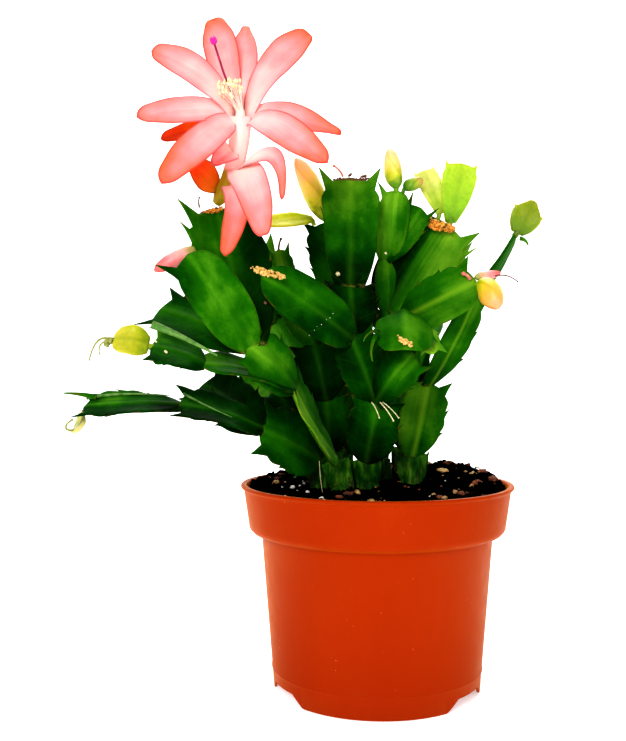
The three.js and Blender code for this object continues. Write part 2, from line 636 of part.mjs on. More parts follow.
// The filaments stand in one column in the throat and spread into a brush of anthers round the style.
function stamens() {
  const bloom = bloomPath()
  const [, bend, knee] = stylePath()
  const lean = knee.clone().sub(bend).normalize()
  const across = new THREE.Vector3(1, 0, 0).addScaledVector(lean, -lean.x).normalize()
  const third = lean.clone().cross(across)
  const ringPoint = (angle, radius, along) => bend.clone().addScaledVector(lean, along)
    .addScaledVector(across, radius * Math.cos(angle)).addScaledVector(third, radius * Math.sin(angle))
  const bodies = [throat(bloom, STAMENS.column, BLOOM.throatDepth - GAP, 2)]
  for (let k = 0; k < STAMENS.count; k++) {
    const angle = 2 * Math.PI * k / STAMENS.count
    const spread = STAMENS.spread * (0.8 + 0.2 * draw(31, k))
    const reach = STAMENS.reach + 1.5 * draw(37, k)
    bodies.push(turned([
      [ringPoint(angle, STAMENS.ring, -1.5), STAMENS.half], [ringPoint(angle, spread, reach), 0.35],
      [ringPoint(angle, spread * 1.03, reach + 0.3), STAMENS.anther],
      [ringPoint(angle, spread * 1.1, reach + 2), STAMENS.anther * 0.8],
    ], 5))
  }
  return joined(bodies).subtract(style(PISTIL.radius + GAP, 1))
}

// The style leaves the bloom's axis just over the mouth, leans through the stamens and rises to the
// stigma.
function stylePath(deeper = 0) {
  const { mouth, axis } = bloomPath()
  const foot = mouth.clone().addScaledVector(axis, -PISTIL.depth - deeper)
  return [foot, mouth.clone().addScaledVector(axis, 2), vec(PISTIL.knee), vec(PISTIL.tip)]
}

function style(radius, deeper = 0) {
  return turned(stylePath(deeper).map((point) => [point, radius]), 6)
}

function pistil() {
  const tip = vec(PISTIL.tip)
  const up = tip.clone().sub(vec(PISTIL.knee)).normalize()
  const head = [[-1, 0.5], [0.2, 0.9], [1.4, 1], [2.2, 0.4]]
    .map(([along, share]) => [tip.clone().addScaledVector(up, along), PISTIL.stigma * share])
  return joined([style(PISTIL.radius), turned(head, 10, (u, angle) => 1 + 0.15 * Math.cos(5 * angle))])
}

// ---- The whole part ----------------------------------------------------------------------------

const plant = new THREE.Group()

// One named piece. Joining can leave a sealed hollow or a loose scrap, so only the main body is kept.
function piece(name, whole, colour) {
  const body = whole.decompose().sort((a, b) => b.volume() - a.volume())[0]
  const [hex, roughness] = COLOURS[colour]
  const material = new THREE.MeshStandardMaterial({ color: hex, roughness, metalness: 0 })
  const mesh = new THREE.Mesh(geometryOf(body), material)
  mesh.name = name
  plant.add(mesh)
}

piece('pot', pot(), 'terracotta')
piece('soil', soil(), 'peat')
Object.entries(STEMS).forEach(([name, form], i) => piece(name, stem(name, form, i + 1), 'green'))
Object.entries(YOUNG).forEach(([name, form], i) => piece(name, young(form, i), 'young'))
Object.entries(BUDS).forEach(([name, [origin, tip, radius, bow]]) => {
  piece(name, bud(start(origin, tip, BUD[0][1] * radius), vec(tip), radius, bow), 'bud')
})
piece('flower_petals', petals(), 'petal')
piece('flower_stamens', stamens(), 'stamen')
piece('flower_pistil', pistil(), 'pistil')

const box = new THREE.Box3().setFromObject(plant)
const middle = box.getCenter(new THREE.Vector3())
plant.position.set(-middle.x, -middle.y, -box.min.z)

const group = new THREE.Group()
group.add(plant)
export default group
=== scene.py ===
"""Looks of the potted christmas cactus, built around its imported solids.

Plant tables are in millimetres, measured from the pot's axis at the ground, and repeat the ones that
the solids are made from, so every finer piece keeps the form and place of the solid it stands for.
"""

import math
from functools import cache, reduce
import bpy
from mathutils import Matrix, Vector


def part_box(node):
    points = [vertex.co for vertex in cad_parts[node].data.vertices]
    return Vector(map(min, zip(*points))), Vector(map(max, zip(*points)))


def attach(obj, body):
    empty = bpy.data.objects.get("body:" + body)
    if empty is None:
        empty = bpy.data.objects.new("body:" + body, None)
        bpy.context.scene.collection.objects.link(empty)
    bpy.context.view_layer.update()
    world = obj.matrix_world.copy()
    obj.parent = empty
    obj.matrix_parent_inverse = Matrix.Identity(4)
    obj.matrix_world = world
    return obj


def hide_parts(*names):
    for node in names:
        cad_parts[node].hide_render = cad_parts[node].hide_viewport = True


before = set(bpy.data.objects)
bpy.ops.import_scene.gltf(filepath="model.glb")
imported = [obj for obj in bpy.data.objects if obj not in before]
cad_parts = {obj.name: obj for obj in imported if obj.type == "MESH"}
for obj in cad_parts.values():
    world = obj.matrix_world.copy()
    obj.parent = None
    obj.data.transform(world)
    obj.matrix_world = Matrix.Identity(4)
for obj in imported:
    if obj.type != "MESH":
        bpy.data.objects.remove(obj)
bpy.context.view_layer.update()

from types import SimpleNamespace as Sizes

import bmesh
import bpy
import numpy as np
from mathutils import Vector, noise
from mathutils.geometry import delaunay_2d_cdt

MM = 0.001
POT_LOW, POT_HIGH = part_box("pot")
AXIS = np.array([(POT_LOW.x + POT_HIGH.x) / 2, (POT_LOW.y + POT_HIGH.y) / 2, POT_LOW.z])

# ---- The plant, as its solids have it ----

GAP = 0.3  # running gap between two separate pieces
SINK = 2.0  # how far a segment's base sits inside the apex it grows from
FRONT = np.array([0, -0.94, 0.34])  # what a segment's broad side faces before its own turn

POT = Sizes(
    height=80, rim=52.5, lip=1.2, band_foot=50.5, band_height=15.4, body=45.8, foot=40.6, wall=1.2,
    floor=7, notch_height=4.2, notch_reach=15, notch_slant=7, notch_count=3, notch_angle=85, bead=8.2,
)
DRAIN = Sizes(radius=4, ring=24, count=4)
SOIL = Sizes(
    front=77, front_at=-50, slope=0.045, heap=4, heap_at=(32, 22), heap_spread=20, lump=0.7,
)
ROOT = Sizes(wide=4.6, thick=2.9, deep=8, above=3.5, inside=5, collar=1.2)

# Each stem: where it stands, then its segments. A row is a segment's name, what it grows from, its
# tip, its width, the turn of its broad side away from the front in degrees, how far it bulges, the
# cut of its margins (left, right where they differ), its tone from 0, old and dark, to 1, bright
# yellow-green, which is partly painted shade and light, near 0 for segments that sit in shade, and
# the painted light on its halves: how much lighter its right half is painted than its left one.
STEMS = {
    "stem_low_left": ((-22, -10), [
        ("foot", "root", (-23, -13, 91), 12, 15, 0, "stub", 0.35, 0),
        ("first", "foot", (-45, -27, 103), 24, 15, 2, "toothed", 0.28, -0.05),
        ("shade", "foot", (-40, -7, 117), 16, 10, 2, "toothed", 0.08, 0),
        ("dark", "first", (-68, -10, 119), 21, 10, 2, "toothed", 0.1, 0),
        ("flat", "first", (-74, -33, 112), 18, 38, 2, "toothed", 0.2, 0.15),
        ("end", "flat", (-109, -31, 111), 17, 44, 1, "toothed", 0.22, 0.3),
    ]),
    "stem_front_left": ((-14, -13), [
        ("foot", "root", (-17, -16, 91), 11, 0, 0, "stub", 0.5, 0),
        ("twisted", "foot", (-33, -30, 119), 19, 62, -1, "toothed", 0.62, -0.35),
        ("olive", "twisted", (-48, -44, 134), 18, 10, 2, "toothed", 0.48, 0.1),
        ("big", "olive", (-68, -53, 164.5), 18.5, -5, 3, ("horned", "smooth"), 0.5, 0.1),
        ("behind", "olive", (-60, -30, 184), 27, 10, -1, "stepped", 0.34, -0.36),
        ("dark", "olive", (-82.5, -22, 147.5), 20, 15, 2, "stepped", 0.22, 0.05),
        ("low", "twisted", (-64, -49, 127), 16, 42, 2, "smooth", 0.45, 0.15),
        ("ledge", "low", (-81, -50, 133), 19, 36, 1, "toothed", 0.38, 0.25),
    ]),
    "stem_centre": ((-4, -9), [
        ("foot", "root", (-5, -13, 91), 12, -10, 0, "stub", 0.5, 0),
        ("first", "foot", (-1, -22, 114), 19, 0, 2, "toothed", 0.17, -0.05),
        ("right", "first", (9, -15, 146), 17, 15, 2, "smooth", 0.2, 0),
        ("left", "first", (-11, -22, 138), 17, -10, 2, "toothed", 0.18, 0.1),
        ("rise", "first", (11, -36, 131), 18, -12, 2, "wedge", 0.24, 0.2),
        ("arched", "right", (7, -46, 132), 21, 0, 7, "blunt", 0.45, 0),
        ("frill", "right", (17.5, -38, 130.5), 10, -20, 3, "toothed", 0.75, 0),
        ("front", "left", (-43, -46, 158), 18, -10, 3, "smooth", 0.3, 0.05),
        ("shade", "left", (-11, -8, 158), 20, 10, 1, "toothed", 0.0, 0),
        ("top", "shade", (-11, -6, 200), 22, 5, 3, "crowned", 0.4, 0.05),
        ("wing", "right", (35.5, -24, 158), 18, 15, 2, ("toothed", "smooth"), 0.5, 0.2),
    ]),
    "stem_right": ((14, 0), [
        ("foot", "root", (14, 0, 92), 13, 0, 0, "stub", 0.2, 0),
        ("first", "foot", (20, -2, 120), 18, 5, 2, ("smooth", "toothed"), 0.56, -0.25),
        ("second", "first", (37, -12, 154), 13, 40, 2, ("smooth", "toothed"), 0.44, 0.1),
        ("thin", "second", (53, -10, 177), 9, 75, 1, "smooth", 0.35, 0),
    ]),
    "stem_back_right": ((3, 10), [
        ("foot", "root", (3, 10, 92), 12, 70, 0, "stub", 0.3, 0),
        ("first", "foot", (4, 9, 122), 17, 45, 1, "toothed", 0.2, 0),
        ("second", "first", (4.2, 8, 150), 17, 45, 1, "toothed", 0.3, 0.3),
        ("broad", "second", (27, 2, 184), 29, 10, 0, ("smooth", "jagged"), 0.34, 1.0),
        ("pale", "second", (3.8, 3, 170), 12, 30, 1, "smooth", 0.5, 0),
        ("crest", "pale", (17.5, -1, 189), 12, 10, 1, "jagged", 0.34, 0.1),
        ("upper", "pale", (8, -3, 195.4), 13, 0, 1, ("horned", "smooth"), 0.68, -0.2),
    ]),
    "stem_back_left": ((-19, 9), [
        ("foot", "root", (-19, 9, 92), 12, 0, 0, "stub", 0.3, 0),
        ("first", "foot", (-20, 6, 114), 19, 10, 1, "toothed", 0.15, 0),
        ("second", "first", (-25, 0, 136), 20, 0, 2, "toothed", 0.15, 0),
        ("third", "second", (-15, 5, 156), 17, 10, 1, "toothed", 0.12, 0),
        ("upper", "third", (-20, 4, 184), 18, 5, 1, "toothed", 0.3, 0),
        ("low", "second", (-34, 2, 150), 12, 0, 1, "toothed", 0.5, 0),
        ("little", "low", (-39, 3, 173), 9, 0, 1, "toothed", 0.55, 0),
    ]),
    "stem_rear_left": ((-14, 22), [
        ("foot", "root", (-15, 23, 92), 13, 170, 0, "stub", 0.4, 0),
        ("first", "foot", (-27, 31, 117), 20, 150, 2, "toothed", 0.35, 0.1),
        ("middle", "foot", (-8, 27, 121), 20, 200, 2, "toothed", 0.25, 0.1),
        ("second", "first", (-42, 35, 146), 22, 125, 3, "toothed", 0.4, 0.2),
        ("top", "second", (-53, 30, 176), 23, 145, 3, "wedge", 0.5, 0.1),
        ("inner", "middle", (-12, 36, 152), 21, 150, 3, "smooth", 0.3, 0.15),
        ("crown", "inner", (-9, 36, 187), 23, 200, 3, "wedge", 0.5, -0.1),
        ("low", "first", (-42, 56, 122), 20, 140, 4, "toothed", 0.42, 0.15),
        ("drop", "low", (-58, 65, 108), 20, 130, 3, "toothed", 0.52, 0.1),
    ]),
    "stem_rear_right": ((13, 22), [
        ("foot", "root", (14, 24, 92), 12, 185, 0, "stub", 0.4, 0),
        ("first", "foot", (19, 32, 118), 20, 205, 2, "toothed", 0.35, 0.1),
        ("second", "first", (29, 33, 147), 21, 235, 3, "smooth", 0.4, 0.15),
        ("top", "second", (33, 26, 177), 22, 205, 3, "wedge", 0.5, 0.1),
        ("inner", "first", (9, 46, 148), 20, 145, 3, "toothed", 0.32, 0.2),
        ("crown", "inner", (15, 52, 178), 21, 170, 3, "wedge", 0.55, -0.1),
        ("low", "first", (14, 60, 122), 20, 200, 4, "toothed", 0.4, 0.1),
        ("drop", "low", (7, 73, 100), 20, 190, 3, "toothed", 0.55, 0.1),
    ]),
}

# Painted light along these segments: how much lighter each is painted at its tip than at its base.
PAINTED_TIP_LIGHT = {"top": 0.55, "big": -0.3, "crown": 0.15, "front": -0.1, "upper": -0.15}

# Segments whose midrib stands out pale, and by how much.
RIBBED = {("stem_centre", "wing"): 0.5, ("stem_right", "first"): 0.45, ("stem_right", "second"): 0.4,
          ("stem_front_left", "twisted"): 0.25}

# Small things that grow on each stem: what they are made of, the corners of the curve that each
# follows from root to tip, and their radius at the root. A fold is a segment's turned-up edge, pale
# green as a painted highlight where light catches it.
GROWTHS = {
    "stem_low_left": [
        ("leaf", [(-104, -32, 115), (-110, -32, 116.5), (-116, -31, 116.5)], 1.1),
        # Folds: pale edges, their colour a painted highlight.
        ("fold", [(-108.5, -27.8, 114.6), (-96, -27.6, 116.9), (-78, -27.9, 115.6)], 0.75),
        ("fold", [(-72.6, -29.8, 116.3), (-64.3, -33.4, 112), (-54.5, -33, 107.8)], 0.5),
    ],
    "stem_front_left": [
        ("husk", [(-66.5, -31, 184), (-67, -31.5, 186), (-66.5, -32, 187.5)], 0.35),
        # A fold: a pale edge, its colour a painted highlight.
        ("fold", [(-80, -52.5, 140.5), (-70, -54, 137), (-58, -52, 130)], 1.5),
        ("cream", [(-22.8, -17.6, 90.4), (-22.6, -18, 84), (-21.6, -17.6, 78.6)], 0.16),
    ],
    "stem_centre": [
        ("cream", [(-3.5, -26, 113), (-2, -30, 111), (-1, -31, 107.5)], 0.28),
        ("cream", [(-0.5, -27, 113), (2, -31, 110.5), (4, -32, 106.5)], 0.3),
        ("cream", [(0.5, -27, 113), (3.5, -31, 111), (6, -31, 107.5)], 0.25),
        ("coral", [(-13.5, -7, 200), (-14.5, -8, 202.5), (-17, -8, 204)], 0.5),
        ("husk", [(43, -21.5, 160), (47.5, -21, 161.4), (51.5, -21, 158)], 0.3),
        ("coral", [(33, -25, 158.5), (32, -26, 160), (30.5, -26, 160.5)], 0.7),
        ("leaf", [(-2.5, -42, 138), (-6, -46, 133), (-4.5, -47, 128)], 0.9),
        ("leaf", [(-2, -40, 139), (-6.5, -43, 138.5), (-7.5, -44, 135)], 0.7),
    ],
    "stem_right": [("leaf", [(54.5, -11, 175.5), (57, -12, 175), (57.5, -12, 172.5)], 0.9)],
    "stem_back_left": [("husk", [(-39, 3, 172), (-39, 2, 175), (-38, 2, 177)], 0.5)],
}
# Corky scars and scales: what they are made of, where they run from and to, how many lumps, how far
# the lumps spread, and their radius.
SCARS = {
    "stem_front_left": [
        ("cream", (-79, -53.5, 135), (-78.6, -53.5, 134.6), 3, 0, 0.4),
        ("cream", (-75.6, -54, 131.5), (-75, -54, 131), 3, 0, 0.5),
        ("husk", (-68, -31.5, 181.4), (-58, -32, 183.8), 40, 0.5, 0.45),
        ("amber", (-65.5, -32.5, 181.6), (-58, -33, 183.6), 26, 0.7, 0.6),
    ],
    "stem_centre": [
        ("gold", (-46, -47, 160.2), (-36, -47, 157.4), 70, 0.9, 0.6),
        ("gold", (4.5, -49.5, 136.4), (8.5, -49.5, 133.6), 36, 0.7, 0.5),
        ("cream", (-16, -14.5, 161.7), (-15.4, -14.5, 161.3), 6, 0, 0.85),
        ("husk", (-42, -48.5, 148.6), (-41.6, -48.5, 148), 4, 0, 0.5),
        ("husk", (-17, -7, 199), (-3.5, -7, 199), 60, 0.4, 0.42),
        ("husk", (-11.2, -7, 200.4), (-10.2, -7, 201.2), 5, 0, 0.6),
        ("husk", (-6.6, -7, 200), (-4.4, -7, 200.4), 6, 0, 0.62),
        ("white", (-27, -39, 137), (-17, -33, 146), 7, 0.35, 0.16),
    ],
    "stem_back_right": [
        ("amber", (20.6, -0.6, 183), (29.2, -1.2, 180.6), 70, 1.5, 0.75),
        ("gold", (21.6, -1.6, 184.4), (28.4, -2, 181.2), 14, 0.8, 0.5),
        ("cream", (3.2, -2.6, 171), (3.6, -2.6, 170.6), 3, 0, 0.5),
    ],
}

# Young segments: the point that each starts from, or the apex and how far beside its middle, then
# tip, width, turn, bulge and cut as above, and the colour.
YOUNG = {
    "young_low_left": ((-110, -31.5, 109.4), (-112, -35, 102.5), 7, 50, -2, "lens", "husk"),
    "young_front_left": (("stem_front_left", "ledge", 0), (-94, -51, 135), 11.5, 8, 2, "barrel", "straw"),
    "young_back_left": (("stem_back_left", "upper", -5), (-44, -11, 181), 9, 15, 0, "lens", "bright"),
    "young_pale": (("stem_back_right", "broad", -2.6), (19, 5, 205), 9, 0, 1, "square", "pale"),
    "young_lime": (("stem_back_right", "broad", 2.4), (33, -4, 206), 13, 10, 1, "square", "lime"),
    "young_right": (("stem_right", "thin", 0), (60, -11, 190), 12, 10, 1, "spade", "olive"),
}

# Claws and curls at the tips of young segments: the corners of each curve and its radius.
CLAWS = {
    "young_front_left": [
        ([(-94, -51, 135.3), (-99, -51, 138), (-101, -51, 133), (-102, -51, 128.5)], 0.45),
        ([(-94, -51, 134.8), (-98, -52, 135.5), (-98.8, -52, 133), (-98.3, -52, 130.5)], 0.4),
        ([(-94, -51, 135), (-96.5, -51, 136), (-96, -51, 134)], 1.3),
    ],
    "young_low_left": [
        ([(-108.6, -33, 110.5), (-107.5, -34, 105), (-110, -35, 102), (-114, -35, 102),
          (-117, -35, 104), (-112, -35, 107)], 0.6),
    ],
}

# Buds: where each starts, as above, its tip, its radius, how far it bows, and its colour.
BUDS = {
    "bud_tall_orange": (("stem_back_left", "upper", 0.8), (-32, 2, 209), 4.5, 2, "orange"),
    "bud_tall_yellow": (("stem_back_right", "upper", -0.5), (4.8, -2, 212), 3.6, 0, "cream"),
    "bud_small_top": (("stem_back_right", "upper", 2.3), (18, -4, 199.5), 2.6, 0, "green"),
    "bud_right": (("stem_centre", "wing", 1.6), (41, -37, 147), 4.5, 1.5, "yellow"),
    "bud_right_small": ((35.2, -23.2, 159.3), (45.5, -19, 161.5), 1.8, 0, "pink"),
    "bud_left_pink": ((-67, -42.1, 167.4), (-80.5, -46, 159.5), 2.9, 1, "pink"),
}
# A bud's radius along it, as a share of the full one.
BUD = [(0, 0.35), (0.06, 0.65), (0.2, 0.9), (0.42, 1), (0.66, 0.9), (0.85, 0.66), (0.96, 0.36), (1, 0.1)]

# The bloom: its tube turns at an elbow. A petal's row is the share of the tube where it leaves, its
# tip, its width, its turn, how far it follows the tube and spreads from it before it bends away, its
# sway to one side, its cut, and its warmth.
BLOOM = Sizes(
    stem="stem_front_left", segment="behind", elbow=(-51, -36, 198), mouth=(-51, -39, 215),
    radii=[(0, 1.6), (0.1, 3), (0.3, 3.1), (0.55, 3.5), (0.8, 3.8), (1, 4.1)],
    throat=2.4, throat_depth=12, bend=2,
)
PETALS = [
    (1, (-82, -43, 237.5), 13, 0, 16.5, 3, -1, "blunt", 0.05),
    (1, (-86, -50, 212.5), 11.5, 0, 6, 0.5, 0, "blunt", 0.1),
    (0.95, (-76, -60, 187.5), 12.5, 0, 6, 1, 0, "blunt", 0.45),
    (1, (-62, -25, 255), 12.5, 0, 18, 3, -1.5, "blunt", 0.35),
    (1, (-50.5, -18, 255), 11, 0, 19, 3.2, 0, "pointed", 0.25),
    (1, (-26.8, -30, 248), 13.2, 0, 16, 2.4, 0, "blunt", 0.3),
    (1, (-15, -40, 209), 10.5, 0, 5.5, 2, -1, "pointed", 0.3),
    (0.95, (-20, -52, 196), 11.5, 0, 7, 2, -0.5, "blunt", 0.35),
    (0.5, (-42, -59, 170), 13, 0, 2, 9, -1, "strap", 0.15),
    (0.3, (-55, -57, 163.5), 9.5, 0, 1, 8, -2.8, "strap", 0.55),
    (0.5, (-36, -46, 184), 9, -20, 20, 15, 0, "tail", 0.2),
    (0.65, (-60, -45, 196.5), 8.5, 0, 3, 1, 0, "strap", -0.35),
    (0.18, (-68.5, -38, 199), 11, 0, 1, 2, 0, "blunt", 1.7),
    (0.9, (-80.5, -34, 208.5), 8, 0, 4, 0.8, 0, "blunt", 1.4),
]
# The stamens and the style leave the mouth as one, and bend over there towards the style's knee.
STAMENS = Sizes(count=46, turn=2.4, reach=10, spread=4.4, column=1.9)
PISTIL = Sizes(
    knee=(-56, -45.5, 227.5), tip=(-59.5, -47.5, 238.5), curve=2.5, radius=0.4, depth=9, lobes=7,
    lobe_radii=(0.3, 0.42, 0.5, 0.5, 0.46, 0.38, 0.26, 0.12),
)

# A cut gives a margin's reach at places along it, as a share of half the width, and its teeth: the
# place where each has its notch, and where its point lies, along the segment and out.
SEGMENT_PLACES = [0, 0.14, 0.28, 0.4, 0.55, 0.68, 0.85, 0.96]
CUTS = {
    "toothed": ([0.26, 0.64, 0.9, 0.92, 1, 0.96, 0.96, 0.52],
                {3: (0.42, 1.08), 5: (0.71, 1.14), 7: (1.06, 1.06)}),
    "wedge": ([0.34, 0.46, 0.6, 0.72, 0.86, 0.9, 0.96, 0.58], {5: (0.72, 1.12), 7: (1.08, 1.04)}),
    "crowned": ([0.5, 0.72, 0.86, 0.93, 0.97, 0.98, 0.97, 0.6], {5: (0.72, 1.08), 7: (1.09, 1.06)}),
    "smooth": ([0.4, 0.76, 0.93, 0.98, 1, 0.99, 0.9, 0.58], {}),
    "stub": ([0.68, 0.82, 0.9, 0.93, 0.95, 0.97, 1, 0.9], {7: (1.12, 1.1)}),
    "stepped": ([0.4, 0.7, 0.88, 0.95, 1, 0.98, 0.9, 0.56],
                {4: (0.56, 1.1), 6: (0.9, 1.12), 7: (1.07, 1.06)}),
    "jagged": ([0.26, 0.6, 0.84, 0.92, 1, 0.98, 0.94, 0.62],
               {4: (0.6, 1.1), 5: (0.79, 1.16), 6: (0.98, 1.16), 7: (1.12, 0.98)}),
    "horned": ([0.4, 0.76, 0.93, 0.98, 1, 0.99, 0.92, 0.62], {7: (1.12, 1.26)}),
    "lens": ([0.3, 0.6, 0.84, 0.95, 1, 0.94, 0.7, 0.4], {}),
    "blunt": ([0.34, 0.62, 0.84, 0.93, 1, 1, 0.95, 0.62], {5: (0.7, 1.08)}),
    "barrel": ([0.55, 0.82, 0.95, 1, 1, 0.97, 0.8, 0.45], {}),
    "square": ([0.34, 0.55, 0.76, 0.88, 0.98, 1, 1, 0.8], {5: (0.71, 1.08), 7: (1.02, 0.94)}),
    "spade": ([0.4, 0.72, 0.88, 0.95, 1, 0.84, 0.5, 0.25], {5: (0.66, 1.22)}),
}
# The same for petals, which have no teeth.
PETAL_PLACES = [0, 0.2, 0.42, 0.62, 0.8, 0.95]
PETAL_CUTS = {
    "blunt": [0.32, 0.55, 0.82, 1, 0.98, 0.6],
    "pointed": [0.32, 0.62, 0.92, 1, 0.78, 0.3],
    "strap": [0.6, 0.95, 1, 0.92, 0.8, 0.5],
    "tail": [0.6, 1, 0.95, 0.62, 0.36, 0.25],
}

# ---- Small helpers ----

UP = np.array([0.0, 0, 1])


def draw(seed, k):
    """A seeded draw between -1 and 1, the same as the solids use."""
    value = math.sin(seed * 12.9898 + k * 78.233) * 43758.5453
    return 2 * (value - math.floor(value)) - 1


def draw_up(seed, k, least, more, power):
    """A seeded draw of at least least, and up to more above it; a high power makes most draws small."""
    return least + more * (0.5 + 0.5 * draw(seed, k)) ** power


def unit(v):
    return v / np.linalg.norm(v, axis=-1, keepdims=True)


def turn_about(v, axis, angle):
    """v turned about a unit axis by an angle in radians; the angle may be an array."""
    c, s = np.cos(angle)[..., None], np.sin(angle)[..., None]
    along = np.sum(v * axis, axis=-1, keepdims=True)
    return v * c + np.cross(axis, v) * s + axis * along * (1 - c)


def facing(axis, turn):
    """The way a blade's broad side faces: to the front, turned about the blade's axis."""
    look = unit(FRONT - axis * np.dot(FRONT, axis))
    return turn_about(look, axis, np.radians(turn))


def cross_axes(axis, guide):
    """Two directions across an axis, the first as near to the guide as it can be."""
    across = unit(np.array(guide, float) - axis * np.sum(axis * guide, axis=-1, keepdims=True))
    return across, np.cross(axis, across)


def bezier(corners, count, ends=False):
    """Points along a Bezier curve, without the last one unless ends."""
    t = np.linspace(0, 1, count + 1)[: None if ends else -1, None]
    points = [np.asarray(c, float) for c in corners]
    while len(points) > 1:
        points = [a + (b - a) * t for a, b in zip(points, points[1:])]
    return points[0]


def on_curve(corners, u):
    """A quadratic curve's point and direction at u, which may be a column of places."""
    a, b, c = corners
    point = (1 - u) ** 2 * a + 2 * u * (1 - u) * b + u ** 2 * c
    return point, unit((1 - u) * (b - a) + u * (c - b))


def around(sides):
    """Angles round a circle."""
    return np.linspace(0, 2 * math.pi, sides, endpoint=False)


def ring_faces(count, sides):
    """Faces of a body made of rings of points, with a cap at each end."""
    faces = [(i * sides + k, i * sides + (k + 1) % sides, (i + 1) * sides + (k + 1) % sides,
              (i + 1) * sides + k) for i in range(count - 1) for k in range(sides)]
    return faces + [tuple(range(sides))[::-1], tuple((count - 1) * sides + k for k in range(sides))]


def mesh_of(name, points, faces):
    """A mesh from points in millimetres, measured from the pot's axis at the ground."""
    mesh = bpy.data.meshes.new(name)
    mesh.from_pydata((np.asarray(points) * MM + AXIS).tolist(), [], faces)
    return mesh


def linked(name, data):
    """A scene object that holds the data."""
    made = bpy.data.objects.new(name, data)
    bpy.context.scene.collection.objects.link(made)
    return made


class Shape:
    """Points and faces of one piece, in millimetres, with the values painted on its points: how far
    along and across its blade or tube each one is, how far from the edge, its tone, and how pale the
    midrib is."""

    def __init__(self):
        self.points, self.faces, self.slots = [], [], []
        self.paint = {key: [] for key in ("along", "across", "edge", "tone", "rib")}
        self.count = 0

    def add(self, points, faces, slot=0, **paint):
        self.points.append(np.asarray(points, float))
        self.faces += [tuple(i + self.count for i in face) for face in faces]
        self.slots += [slot] * len(faces)
        for key, values in self.paint.items():
            values.append(np.broadcast_to(np.asarray(paint.get(key, 0.0), float), len(points)))
        self.count += len(points)

    def add_rings(self, rings, slot=0, **paint):
        """Adds a closed body from rings of points."""
        count, sides, _ = np.shape(rings)
        self.add(np.reshape(rings, (-1, 3)), ring_faces(count, sides), slot, **paint)

    def build(self, name, materials, slot, *nodes):
        mesh = mesh_of(name, np.concatenate(self.points), self.faces)
        for key, values in self.paint.items():
            layer = mesh.attributes.new(key, "FLOAT", "POINT")
            layer.data.foreach_set("value", np.concatenate(values).astype(np.float32))
        for material in materials:
            mesh.materials.append(material)
        mesh.polygons.foreach_set("material_index", self.slots)
        mesh.shade_smooth()
        made = linked(name, mesh)
        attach(made, "root")
        if nodes:
            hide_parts(*nodes)
        return made


# ---- Blades: segments and petals ----

NUDGE = 0.05  # how far to each side a blade's surface is felt to find which way it faces

# A lobe of a margin: how far before its notch it turns into the tooth, how much it swells, how far a
# draw moves the tooth's point along and out, how low its back starts, and how far its front hooks back.
LOBE = Sizes(turn=0.09, swell=0.05, stray_along=0.03, stray_out=0.06, back=0.12, hook=0.25)
SERRATION = Sizes(depth=0.022, count=17)
APEX_FROM, APEX_CORNER = 0.9, 0.985  # where a margin turns in to the apex, and where its corner lies

# Half the thickness of a segment: at its margin, in its sides and along its midrib, which thins by fall
# for each millimetre that the tip is above level; and how far in from the margin it is rounded.
HALF = Sizes(margin=0.13, side=0.45, rib=2, thin_rib=1.1, level=90, fall=0.008, rounding=0.9)
# The midrib is a narrow ridge on a wide one: the share of the thickness that each makes, and its width.
RIDGES = [(0.4, 1.1), (0.6, 4.2)]

# A segment that bulges more than this is arched across as well, by this share of its width.
ARCHED_FROM, ARCHED_CUP = 5, 0.22


def margin_distance(points, outline):
    """Distance from each flat point to the outline, and whether it lies inside."""
    a, b = outline, np.roll(outline, -1, axis=0)
    run = b - a
    rel = points[:, None, :] - a[None]
    t = np.clip(np.sum(rel * run, axis=2) / np.maximum(np.sum(run * run, axis=1), 1e-12), 0, 1)
    near = np.linalg.norm(rel - t[..., None] * run, axis=2).min(axis=1)
    x, y = points[:, 0:1], points[:, 1:2]
    crosses = (a[:, 1] > y) != (b[:, 1] > y)
    with np.errstate(divide="ignore", invalid="ignore"):
        beside = a[:, 0] + (y - a[:, 1]) * run[:, 0] / run[:, 1]
    inside = np.sum(crosses & (x < beside), axis=1) % 2 == 1
    return near, inside


def filled(outline, step):
    """Fills a flat outline with triangles about a step wide: its points, its faces, and where each
    point of the outline is now."""
    low, high = outline.min(axis=0), outline.max(axis=0)
    rows = np.arange(low[0] + step / 2, high[0], step)
    columns = np.concatenate([-np.arange(step, -low[1], step)[::-1], np.arange(0, high[1], step)])
    inner = np.stack(np.meshgrid(rows, columns, indexing="ij"), axis=-1).reshape(-1, 2)
    near, inside = margin_distance(inner, outline)
    flat = np.concatenate([outline, inner[inside & (near > 0.4 * step)]])
    border = len(outline)
    ring = [(i, (i + 1) % border) for i in range(border)]
    found = delaunay_2d_cdt([Vector(p) for p in flat], ring, [], 1, 1e-5)
    place = {source: i for i, sources in enumerate(found[3]) for source in sources}
    return np.array([tuple(v) for v in found[0]]), found[2], [place[i] for i in range(border)]


